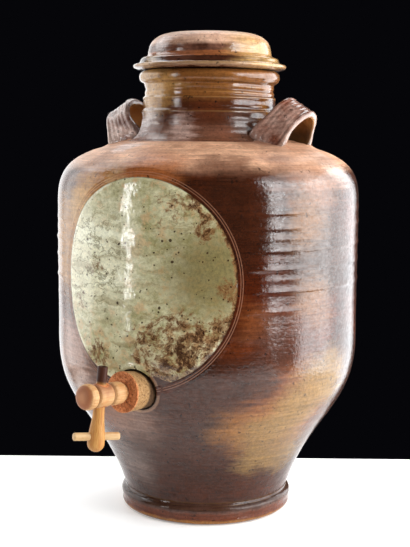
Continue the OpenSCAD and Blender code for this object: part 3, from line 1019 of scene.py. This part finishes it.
def stoneware(name, base, second, flashes, bands, edge, gloss=0.05, peel=0.26, dull=None, hollow_pool_and_shade=0.75):
    """Glossy fired clay with bands by height and flashes of (colour, pixel, full px, none px, strength)."""
    f = Finish(name)
    clouds = f.noise(26, 5.0, 0.6)
    streaky = f.vector("SUBTRACT", f.wander(1.0, 0.030, (24, 24, 300)), f.at)
    loose = f.vector("ADD", f.wander(40, 0.030), streaky)
    height = f.axis("Z", f.wander(60, 0.005))
    colour = f.mix(f.step(clouds, 0.34, 0.68), base, second)
    colour = f.mix(f.step(f.noise(17, 4.0, 0.6, (1, 1, 2)), 0.50, 0.68), colour, PLUM, 0.3)
    for tint, low, high, soft, strength in bands:
        rise = f.step(height, (low - soft) * MM, low * MM)
        fall = f.step(height, (high + soft) * MM, high * MM)
        colour = f.mix(f.times(rise, fall), colour, tint, strength)
    for tint, pixel, full, none, strength in flashes:
        colour = f.mix(f.near_pixel(pixel, full, none, loose), colour, tint, strength)
    colour = flames_behind(f, colour, loose)
    lines = level_lines(f, 430.0)
    colour = worn(f, colour, lines, edge, hollow_pool_and_shade)
    skin = f.plus(f.noise(400, 2.0, 0.5), f.times(f.noise(1400, 2.0, 0.5), 0.35))
    skin = f.plus(skin, f.times(f.noise(110, 2.0, 0.5), 1.3))
    skin = f.plus(skin, f.times(lines, 0.6))
    shine = f.plus(gloss, f.times(f.step(clouds, 0.3, 0.75), 0.07))
    pitted = f.noise(1.0, 5.0, 0.8, (200, 200, 420))
    foot_up = {"Value": height, "From Min": 0.05, "From Max": 0.16, "To Min": 0.45}
    gleam = f.times(f.node("MapRange", inputs=foot_up), f.spread(pitted, 0.2, 0.75))
    if dull:
        low, high, rougher = dull
        top = f.step(height, low * MM, high * MM)
        colour, shine, gleam = dry_top(f, colour, shine, gleam, top, rougher)
    f.end(colour, shine, f.bump(skin, 0.0006, peel), 1.52, gleam)
    return f


FOOT_BROWN = paint(72, 40, 26)
FOOT_PALE = paint(106, 74, 62)
foot_bands = [(RUST, 4, 10, 2, 0.7), (GOLD, 0, 3.2, 2, 0.75), (DARK, 14, 20, 3, 0.6)]
f = stoneware("stoneware_foot", FOOT_BROWN, FOOT_PALE, (), foot_bands, 0.3)
f.put_on(foot)
print("stoneware of the foot has", len(f.tree.nodes), "nodes")

# %% [markdown]
# ## Flashes on the wall
# Most flashes are where flame or ash touched the wet glaze: a soft blob with an edge broken by noise. A few
# are painted light: glare, a reflection and shade on the shoulder. A flash could be a mask painted on the
# mesh.
# Here it is a place, two reaches and a strength, because those are easy to read and to change. The place is a
# pixel of the photo, which `seen` follows to the clay. Round the tap hole, a painted highlight runs along the
# lip and painted shade fills the mouth.

# %% Flashes
WALL_DARK = paint(45, 20, 9)
WALL_RUST = paint(80, 34, 12)
LOW_PLUM = paint(66, 38, 27)
SUNNY = paint(132, 102, 60)
MIST = paint(170, 134, 116)
TOFFEE = paint(170, 122, 62)
HONEY = paint(196, 152, 92)
EMBER = paint(62, 21, 5)
ROSE_SHADE = paint(168, 128, 104)
MAUVE = paint(112, 80, 68)
COCOA = paint(96, 60, 44)
UMBER = paint(100, 64, 48)
FAWN = paint(132, 98, 80)
CREAM_REFLECTION = paint(216, 196, 182)
SOOT = paint(54, 28, 18)
BISQUE_SHADE = paint(150, 108, 86)
MILK_GLARE = paint(240, 228, 226)
STRAW = paint(190, 158, 118)
SHELL = paint(196, 172, 160)
SMOKE = paint(140, 122, 114)
# The tan band on the shoulder is partly the dry ash glaze's colour and partly painted light where it faces the
# lamps above.
wall_bands = [(TAN, 334, 365, 13, 0.85), (LOW_PLUM, 60, 142, 34, 0.8), (CHOCOLATE, 18, 60, 16, 0.6)]
wall_flashes = [
    (HAZE, (318, 250), 36, 76, 0.8),
    (MIST, (72, 352), 12, 54, 0.7),
    (GOLD, (99, 182), 14, 44, 0.95),
    (ORANGE, (150, 172), 14, 48, 0.75),
    (TOFFEE, (68, 244), 22, 70, 0.8),
    (HONEY, (80, 204), 10, 34, 0.65),
    (EMBER, (246, 285), 26, 64, 0.85),
    (ORANGE, (256, 322), 4, 30, 0.25),
    (PLUM, (300, 330), 20, 70, 0.5),
    (GOLD, (306, 222), 4, 46, 0.4),
    (GOLD, (314, 300), 4, 40, 0.35),
    (ORANGE, (284, 418), 20, 76, 0.5),
    (GOLD, (238, 432), 4, 44, 0.7),
    (SUNNY, (328, 376), 8, 44, 0.7),
    (SUNNY, (310, 396), 10, 48, 0.7),
    (SUNNY, (288, 418), 12, 50, 0.75),
    (SUNNY, (266, 436), 10, 44, 0.75),
    (SUNNY, (282, 452), 10, 38, 0.7),
    (ORANGE, (102, 406), 8, 44, 0.35),
    (MIST, (132, 420), 4, 46, 0.4),
    (WALL_DARK, (240, 222), 36, 70, 0.8),
    # Painted shade on the right of the shoulder, which evens out the light from the lamps at that side.
    (ROSE_SHADE, (304, 158), 22, 66, 0.6),
    (MAUVE, (254, 139), 12, 40, 0.8),
    (COCOA, (230, 164), 10, 28, 0.7),
    (UMBER, (208, 163), 6, 22, 0.65),
    (FAWN, (282, 162), 8, 24, 0.6),
    # A painted reflection of the right lamps at the far right of the shoulder.
    (CREAM_REFLECTION, (332, 164), 8, 30, 0.4),
    (SOOT, (252, 382), 12, 36, 0.75),
    # Painted shade that dims the highlight on the left bend of the shoulder.
    (BISQUE_SHADE, (100, 161), 10, 26, 0.6),
    # A painted glare beside the left handle's foot.
    (MILK_GLARE, (124, 147), 6, 24, 0.6),
    (STRAW, (117, 178), 3, 18, 0.5),
    (SHELL, (78, 378), 6, 26, 0.55),
    (SMOKE, (135, 462), 4, 40, 0.4),
    (SUNNY, (332, 384), 4, 26, 0.6),
    (SUNNY, (254, 459), 8, 30, 0.7),
]
print("bands and flashes on the wall:", len(wall_bands), len(wall_flashes))

# %% Finish of the wall
LIP_HIGHLIGHT_FADE = (0.0018, 0.0004)
MOUTH_SHADE_FADE = (0.0204, 0.0190)
f = stoneware("stoneware_wall", WALL_DARK, WALL_RUST, wall_flashes, wall_bands, 0.3, dull=(318, 342, 0.36),
              hollow_pool_and_shade=0.25)
from_hole = f.gap(TAP_AT)
# A painted highlight along the lip of the tap hole.
colour = f.mix(f.step(f.apart(from_hole, LIP_R * MM), *LIP_HIGHLIGHT_FADE), f.fed("Base Color"), TAN, 0.22)
# Painted shade inside the mouth of the tap hole.
f.refeed("Base Color", f.mix(f.step(from_hole, *MOUTH_SHADE_FADE), colour, DARK, 0.85))
f.put_on(crock)
print("stoneware of the wall has", len(f.tree.nodes), "nodes")

# %% [markdown]
# ## Neck and lid
# The neck is golden under its rim, dark between its steps and duller at its base, and the lid has a pale crown
# and ochre flashes. The crown's pale is partly painted light, and both carry painted light in flashes: a
# highlight and reflections on the neck's base, shade under the right handle and a highlight on the crown. One
# finish for the whole pot would be shorter. Each piece has its own here, because each sat in another place in
# the flame.

# %% Finish of the neck
NECK_GOLD = paint(124, 78, 36)
NECK_BROWN = paint(70, 36, 18)
NECK_PINK = paint(124, 84, 64)
NECK_HIGHLIGHT = paint(190, 160, 148)
NECK_REFLECTION_GREY = paint(204, 194, 190)
NECK_REFLECTION_PALE = paint(220, 212, 210)
NECK_SHADE = paint(64, 38, 26)
neck_bands = [(NECK_GOLD, 390, 412, 6, 0.8), (NECK_BROWN, 364, 390, 3, 0.5), (NECK_PINK, 350, 360, 10, 0.45)]
neck_flashes = [
    (OCHRE, (150, 84), 14, 44, 0.75),
    (OCHRE, (168, 88), 6, 26, 0.5),
    (GOLD, (262, 110), 4, 16, 0.7),
    # A painted highlight on the flare of the neck's base, and painted reflections of the left lamps at its
    # left edge.
    (NECK_HIGHLIGHT, (182, 132), 5, 24, 0.7),
    (NECK_REFLECTION_GREY, (149, 116), 4, 16, 0.6),
    (NECK_REFLECTION_PALE, (142, 129), 6, 20, 0.7),
    # Painted shade on the neck under the right handle, which keeps the lamps' reflection off it.
    (NECK_SHADE, (244, 120), 10, 26, 0.8),
]
f = stoneware("stoneware_neck", CHOCOLATE, RUST, neck_flashes, neck_bands, 0.45)
base = f.step(f.axis("Z"), (SEAT_Z + 30) * MM, (SEAT_Z + 20) * MM)
f.refeed("Roughness", f.plus(f.fed("Roughness"), f.times(base, 0.14)))
f.put_on(neck)
print("flashes on the neck:", len(neck_flashes))

# %% Finish of the lid
LID_PALE = paint(214, 174, 148)
LID_BROWN = paint(130, 88, 70)
LID_SHADE = paint(104, 64, 48)
LID_HIGHLIGHT_WHITE = paint(230, 216, 212)
FLANGE = paint(150, 116, 90)
lid_bands = [
    # The pale crown is partly its ash glaze and partly painted light on the top.
    (LID_PALE, 441, 460, 5, 0.85),
    (ORANGE, RIM_Z + 11, RIM_Z + 15, 1.5, 0.6),
    (CHOCOLATE, RIM_Z + 6.2, RIM_Z + 10.8, 0.6, 0.9),
    (FLANGE, RIM_Z + 1.5, RIM_Z + 5.6, 0.6, 0.7),
]
lid_flashes = [
    (OCHRE, (256, 46), 10, 44, 0.8),
    (OCHRE, (270, 58), 6, 24, 0.6),
    (OCHRE, (146, 66), 6, 20, 0.5),
    (LID_SHADE, (180, 50), 10, 30, 0.4),
    # A painted highlight on the crown's top left.
    (LID_HIGHLIGHT_WHITE, (163, 42), 5, 18, 0.6),
]
f = stoneware("stoneware_lid", CHOCOLATE, LID_BROWN, lid_flashes, lid_bands, 0.45, dull=(436, 446, 0.36))
f.put_on(lid)
print("flashes on the lid:", len(lid_flashes))

# %% [markdown]
# ## Compass line and handles
# The compass line is cut through the glaze, so its two scratches show paler clay. The handles fired greyer
# than the wall, with pale edges where the glaze ran off the ridges, and stayed golden brown inside the arch,
# where painted shadow darkens it low down near the feet. Both take the stoneware above and mix a little more
# into its colour, so that they still belong to the same pot.

# %% Finish of the compass line
CUT_CLAY = paint(160, 112, 88)
CUTS = (92.7, 94.7)
PLAIN_IOR = 1.5
DISC_MID = Vector((BELLY_R * sin(DISC_TURN), -BELLY_R * cos(DISC_TURN), DISC_Z)) * MM
ROUND = Vector((1 / DISC_WIDE, 1 / DISC_WIDE, 1))


def from_disc(f):
    """Distance from the disc's middle, measured so that the compass line is round."""
    return f.gap(DISC_MID * ROUND, f.vector("MULTIPLY", f.at, ROUND))


f = stoneware("stoneware_line", WALL_DARK, WALL_RUST, wall_flashes, (), 0.0)
colour = f.fed("Base Color")
away = from_disc(f)
for at in CUTS:
    colour = f.mix(f.step(f.apart(away, at * MM), 0.0006, 0.0001), colour, CUT_CLAY, 0.45)
f.refeed("Base Color", colour)
f.refeed("IOR", PLAIN_IOR)
f.put_on(ring)
print("scratches of the compass at", CUTS, "mm from the disc's middle")

# %% Finish of the handles
STRAP = paint(174, 142, 128)
STRAP_PALE = paint(216, 194, 184)
ARCH_GOLD = paint(170, 120, 54)
for piece, side, pale in ((handles[0], 1, STRAP), (handles[1], -1, STRAP_PALE)):
    f = stoneware(piece.name, pale, RUST, (), (), 0.0, 0.1, 0.3)
    from_mid = f.vector("SUBTRACT", f.at, (side * ARCH_AT[0] * MM, 0, ARCH_AT[1] * MM))
    across = tuple(ARCH_ACROSS * (side, 1, 1))
    out = f.measure("DOT_PRODUCT", from_mid, across)
    off_axis = f.measure("LENGTH", f.vector("CROSS_PRODUCT", from_mid, across))
    stripes = f.node("CombineXYZ", inputs={"X": f.times(out, 420.0), "Y": f.times(off_axis, 120.0)})
    colour = f.tint(f.fed("Base Color"), f.noise(1.0, 3.0, 0.6, at=stripes), 0.7, 1.3)
    colour = f.mix(f.step(out, (STRAP_W - 2.0) * MM, (STRAP_W - 0.4) * MM), colour, ASH, 0.2)
    under = f.step(off_axis, (ARCH_R - 0.8) * MM, (ARCH_R - 2.4) * MM)
    colour = f.mix(under, colour, ARCH_GOLD, 0.8)
    # Painted shadow on the inside of the arch, low down near the feet.
    deep = f.times(under, f.step(f.axis("Z"), (ARCH_AT[1] + 12) * MM, (ARCH_AT[1] - 8) * MM))
    f.refeed("Base Color", f.mix(deep, colour, DARK, 0.85))
    f.refeed("IOR", PLAIN_IOR)
    f.put_on(piece)
print("finishes of", [piece.name for piece in handles])

# %% [markdown]
# ## Pale glaze of the disc
# The disc's glaze is a celadon: grey-green, yellower where it is thin, with iron specks that burned
# through, and brown where ash and iron pooled near the lower edge. One even noise could stain it all over.
# The stains have places here, as the flashes do, because the photo shows most of them in the lower right.
# The specks are random cells, and the brown breaks through noise.

# %% Ground of the celadon
CELADON = paint(146, 140, 96)
PALE = paint(198, 192, 156)
BEIGE = paint(184, 150, 108)
OLIVE = paint(108, 96, 58)
MILKY = paint(228, 225, 196)
CREAMY = paint(236, 235, 210)
DRAB = paint(128, 110, 70)
MOSS = paint(96, 86, 48)
OLIVE_PX = (214, 275)
MILKY_PX = (90, 258)

f = Finish("celadon")
loose = f.wander(60, 0.016)
swirl = f.wander(34, 0.050)
mottle = f.noise(120, 5.0, 0.7, at=swirl)
lines = f.noise(1.0, 4.0, 0.65, (26, 26, 170), loose)
colour = f.mix(f.step(f.noise(60, 6.0, 0.7, (1, 1, 1.4), loose), 0.32, 0.64), CELADON, PALE)
colour = f.mix(f.step(f.noise(95, 6.0, 0.7), 0.50, 0.62), colour, BEIGE, 0.7)
# Partly the glaze's own colour and partly painted light: paler on the left, where the left lamps' reflection
# lies in the gloss, and darker olive on the right, where none falls.
colour = f.mix(f.near_pixel(OLIVE_PX, 16, 84), colour, OLIVE, 0.9)
left = f.near_pixel(MILKY_PX, 24, 84)
colour = f.mix(left, colour, MILKY, 0.8)
colour = f.mix(f.times(f.step(lines, 0.50, 0.38), left), colour, CREAMY, 0.8)
colour = f.mix(f.step(lines, 0.53, 0.64), colour, DRAB, 0.45)
fold = f.apart(f.noise(1.0, 4.0, 0.6, (30, 30, 60), loose), 0.5)
colour = f.mix(f.times(f.step(fold, 0.022, 0.006), left), colour, MOSS, 0.6)
print("ground of the celadon has", len(f.tree.nodes), "nodes")

# %% Stains, specks and skin of the celadon
BROWN = paint(112, 72, 40)
IRON = paint(48, 24, 10)
RIGHT_PX = (236, 285)
STAINS = (
    ((184, 352), 8, 44, 1.0), ((205, 340), 6, 34, 0.9), ((165, 372), 6, 30, 0.8), ((100, 352), 4, 26, 0.75),
    ((162, 199), 2, 14, 0.6), ((160, 226), 2, 16, 0.6), ((196, 203), 4, 18, 0.9), ((204, 232), 4, 18, 0.9),
    ((228, 290), 4, 22, 0.8), ((225, 325), 4, 22, 0.8), ((95, 262), 3, 22, 0.5), ((84, 300), 3, 18, 0.5),
    ((158, 342), 10, 44, 0.75), ((148, 357), 6, 32, 0.7), ((176, 326), 6, 30, 0.75), ((206, 357), 6, 30, 0.9),
    ((177, 207), 4, 26, 0.6), ((207, 222), 4, 20, 0.8), ((168, 373), 8, 34, 0.95),
)
SPECKS = ((170, 0.25, 0.53), (300, 0.30, 0.52))

brown = 0.0
for pixel, full, none, strength in STAINS:
    brown = f.most(brown, f.times(f.near_pixel(pixel, full, none, loose), strength))
from_mid = from_disc(f)
rim = f.step(from_mid, (DISC_R - 7) * MM, (DISC_R - 0.5) * MM)
brown = f.most(brown, f.times(rim, f.near_pixel(RIGHT_PX, 50, 120)))
broken = f.plus(brown, f.times(f.less(mottle, 0.5), 3.0))
colour = f.mix(f.step(broken, 0.40, 0.90), colour, BROWN, 0.85)
colour = f.mix(f.step(broken, 0.80, 1.2), colour, IRON, 0.9)
colour = f.mix(f.step(from_mid, (DISC_R - 1.4) * MM, (DISC_R - 0.4) * MM), colour, IRON, 0.7)
for scale, size, seldom in SPECKS:
    bigger = f.times(f.step(f.noise(scale * 0.6, 2.0, 0.5), seldom, seldom + 0.16), size)
    colour = f.mix(f.step(f.less(f.cells(float(scale), "Distance"), bigger), 0.04, -0.06), colour, IRON, 0.9)
colour = f.tint(colour, f.noise(380, 5.0, 0.8), 0.70, 1.30)
skin = f.plus(f.noise(300, 3.0, 0.5), f.times(f.noise(95, 2.0, 0.5), 1.2))
f.end(colour, f.plus(0.07, f.times(mottle, 0.10)), f.bump(skin, 0.0005, 0.34), 1.54)
f.put_on(disc)
print("celadon with", len(STAINS), "stains and", len(f.tree.nodes), "nodes")

# %% [markdown]
# ## Cork and beech
# Pressed cork is a crowd of granules in slightly different browns with dark pits between them, and it is
# dark where it sits in the hole: soaked there, and with painted shade. Beech is pale and fine: long grain with
# short dark flecks along the turned length, end grain on the knob's face, darker where vinegar has soaked in,
# most of all at the outlet end, and painted shade in the turned grooves. The grain could come from a picture
# of wood. Stretched noise is enough at this size, and it runs along each piece.

# %% Cork finish
CORK_SIDE = (paint(140, 104, 64), paint(168, 132, 90))
CORK_FACE = (paint(160, 92, 52), paint(206, 132, 84))
CORK_PIT = paint(74, 36, 20)
CORK_FLECK = paint(150, 98, 56)
CORK_SOAK_SHADE = paint(46, 24, 14)
FACE_FROM = (0.0150, 0.0174)
SOAK_SHADE_FROM = (0.0030, -0.0010)

f = Finish("cork")
tone = f.node("SeparateColor", inputs={0: f.cells(700.0, "Color")})
face = f.step(f.axis("Z"), *FACE_FROM)
colour = f.mix(face, f.mix(tone, *CORK_SIDE), f.mix(tone, *CORK_FACE))
pits = f.step(f.noise(480, 3.0, 0.6), 0.58, 0.67)
colour = f.mix(pits, colour, CORK_PIT, 0.8)
flecks = f.step(f.noise(1.0, 3.0, 0.6, (1300, 1300, 500)), 0.60, 0.68)
colour = f.mix(flecks, colour, CORK_FLECK, 0.5)
# Dark near and inside the wall: soaked cork and painted shade.
colour = f.mix(f.step(f.axis("Z"), *SOAK_SHADE_FROM), colour, CORK_SOAK_SHADE, 0.85)
f.end(colour, 0.8, f.bump(f.less(f.noise(900, 3.0, 0.6), pits), 0.0003, 0.6), 1.5, 0.2)
f.put_on(cork, NODES["key_seat_cork"])
print("cork finish has", len(f.tree.nodes), "nodes")

# %% Beech finish
RAY_FLECK = paint(132, 84, 44)
WARM_CLOUD = paint(176, 112, 58)
GROOVE_SHADE = paint(46, 24, 12)


def beech(name, pale, warm, stain, stain_from, stain_to, rough):
    """Fine-grained wood along the piece's Z, with a stain between two heights on Z and painted shade in its
    grooves.
    """
    f = Finish(name)
    grain = f.noise(1.0, 5.0, 0.6, (900, 900, 38))
    rays = f.noise(1.0, 3.0, 0.5, (1700, 1700, 260))
    clouds = f.noise(120, 3.0, 0.5)
    colour = f.mix(f.step(grain, 0.34, 0.68), pale, warm)
    colour = f.mix(f.step(rays, 0.62, 0.72), colour, RAY_FLECK, 0.5)
    colour = f.mix(f.step(clouds, 0.5, 0.72), colour, WARM_CLOUD, 0.4)
    soft = f.plus(f.axis("Z"), f.times(f.less(clouds, 0.5), 0.004))
    colour = f.mix(f.step(soft, stain_from, stain_to), colour, stain)
    # Painted shade in the turned grooves.
    sharp = f.node("NewGeometry", out="Pointiness")
    colour = f.mix(f.step(sharp, 0.48, 0.41), colour, GROOVE_SHADE, 0.92)
    f.end(colour, f.plus(rough, f.times(grain, 0.2)), f.bump(grain, 0.00012, 0.5), 1.5, 0.2)
    return f


BEECH = paint(194, 152, 106)
BEECH_WARM = paint(174, 126, 80)
KNOB_STAIN = paint(148, 92, 60)
WET_STAIN = paint(132, 76, 54)
END_GRAIN = paint(190, 136, 98)
f = beech("beech_barrel", BEECH, BEECH_WARM, KNOB_STAIN, 0.0626, 0.0644, 0.36)
wet_at = TAP_FRAME.inverted() @ (KEY_AT + KEY_AXIS * MIDDLE[2] * MM)
wet = f.near(wet_at, 0.006, 0.017, f.wander(160, 0.008))
colour = f.mix(wet, f.fed("Base Color"), WET_STAIN, 0.8)
end_grain = f.near((0, 0, (KNOB[1] + DOME) * MM), 0.001, 0.007, f.wander(160, 0.003))
f.refeed("Base Color", f.mix(end_grain, colour, END_GRAIN, 0.6))
f.put_on(barrel)
print("beech of the barrel has", len(f.tree.nodes), "nodes")

# %% Beech of the bar and the key
BAR_PALE = paint(198, 166, 124)
BAR_WARM = paint(184, 146, 100)
KEY_PALE = paint(184, 136, 76)
KEY_WARM = paint(162, 106, 52)
OUTLET_STAIN = paint(60, 28, 14)
beech("beech_bar", BAR_PALE, BAR_WARM, BEECH, 0.5, 0.6, 0.42).put_on(bar)
beech("beech_key", KEY_PALE, KEY_WARM, OUTLET_STAIN, 0.0085, 0.0125, 0.34).put_on(key)
print("finishes:", sorted(m.name for m in bpy.data.materials if m.users))

# %% [markdown]
# ## Table, light and background
# The photo was taken on a white table in a dark studio, with tall soft lights at both sides and one high
# behind. Their reflections draw the pot's gloss: a sharp bright strip right of the front, pale veils beside
# it and at both edges, and a bright shoulder. A picture of a studio could light it all at once. Single
# lamps are used because each reflection can then be put where the photo has it. The table is white by its
# colour and a faint glow that only the camera and reflections see, so it adds no light to the pot. Azimuths
# are counted from the camera, to the right.

# %% Table
TABLE_BACK = 0.141
TABLE_HALF = 0.45
TABLE_FRONT = -0.6
TABLE_LOW = -0.03
TABLE_TOP = -0.0004
TABLE_GLOW = 0.2
TABLE_WHITE = (paint(244, 244, 243), paint(248, 248, 247))
SIDES = [(0, 2, 3, 1), (4, 5, 7, 6), (0, 1, 5, 4), (2, 6, 7, 3), (0, 4, 6, 2), (1, 3, 7, 5)]

mesh = bpy.data.meshes.new("table")
xs, ys, zs = (-TABLE_HALF, TABLE_HALF), (TABLE_FRONT, TABLE_BACK), (TABLE_LOW, TABLE_TOP)
corners = [SPIN @ Vector((x, y, z)) for z in zs for y in ys for x in xs]
mesh.from_pydata(corners, [], SIDES)
table = put_in_scene("table", mesh)
f = Finish("table_top")
f.end(f.mix(f.noise(14, 3.0, 0.5), *TABLE_WHITE), 0.5)
path = f.tree.nodes.new("ShaderNodeLightPath").outputs
mirrored = f.most(path["Is Glossy Ray"], path["Is Transmission Ray"])
looked_at = f.most(path["Is Camera Ray"], mirrored)
f.refeed("Emission Color", (1, 1, 1, 1))
f.refeed("Emission Strength", f.times(looked_at, TABLE_GLOW))
f.put_on(table)
print("the table ends", round(TABLE_BACK / MM), "mm behind the crock's axis")

# %% Lights
AIM = Vector((0, 0, 0.24))
WHITE = (1.0, 1.0, 1.0)
COOL = (0.95, 0.98, 1.0)
COOLER = (0.93, 0.97, 1.0)


def softbox(name, start, end, height, tall, radiance, distance=1.2, tone=WHITE):
    """A soft light that fills the azimuths between start and end, at a height, and faces the crock."""
    a = radians((start + end) / 2)
    width = 2 * distance * tan(radians(abs(end - start) / 2))
    place = SPIN @ Vector((distance * sin(a), -distance * cos(a), height))
    light = bpy.data.lights.new(name, "AREA")
    light.shape = "RECTANGLE"
    light.size, light.size_y = width, tall
    light.energy = radiance * pi * width * tall
    light.color = tone
    facing = (AIM - place).to_track_quat("-Z", "Y").to_matrix().to_4x4()
    lamp = put_in_scene(name, light, Matrix.Translation(place) @ facing)
    lamp.visible_camera = False
    return lamp


lamps = [
    softbox("strip_right", 44.5, 51, 0.56, 1.08, 14.0),
    softbox("canopy_right", 49, 104, 1.00, 0.55, 2.8, 0.95),
    softbox("veil_front", 51, 68, 0.52, 0.92, 7.0, tone=COOL),
    softbox("veil_right", 68, 98, 0.30, 1.2, 7.0, tone=COOL),
    softbox("rim_right", 97, 142, 0.15, 1.9, 4.0, tone=COOLER),
    softbox("edge_left", -58.4, -56.4, 0.45, 0.8, 34.0),
    softbox("fill_left", -135, -90, 0.40, 1.3, 2.2),
    softbox("rim_left", -172, -138, 0.10, 1.8, 1.6),
    softbox("overhead", 150, 250, 1.25, 0.55, 3.8, 0.8),
]
print("watts of the lamps:", {lamp.name: round(lamp.data.energy, 2) for lamp in lamps})

# %% [markdown]
# ## The dark studio
# Behind the pot the studio is nearly black, and a little light comes from everywhere. A single grey world
# would do for that, but glossy clay would mirror it and turn milky. So the world has three levels: dark for
# the camera, grey for light on the clay and nearly dark for what the gloss mirrors.

# %% World
AMBIENT = 0.36
MIRRORED = 0.05
STUDIO_DARK = paint(6, 6, 9)
world = bpy.data.worlds.new("studio")
world.use_nodes = True
bpy.context.scene.world = world
tree = world.node_tree
path = tree.nodes.new("ShaderNodeLightPath")
shown = tree.nodes.new("ShaderNodeMix")
lit = tree.nodes.new("ShaderNodeMix")
for node in (shown, lit):
    node.data_type = "RGBA"
lit.inputs[6].default_value = (AMBIENT, AMBIENT, AMBIENT, 1)
lit.inputs[7].default_value = (MIRRORED, MIRRORED, MIRRORED, 1)
shown.inputs[7].default_value = STUDIO_DARK
tree.links.new(path.outputs["Is Glossy Ray"], lit.inputs[0])
tree.links.new(path.outputs["Is Camera Ray"], shown.inputs[0])
tree.links.new(lit.outputs[2], shown.inputs[6])
tree.links.new(shown.outputs[2], tree.nodes["Background"].inputs["Color"])
print("light from everywhere", AMBIENT, "and in reflections", MIRRORED)
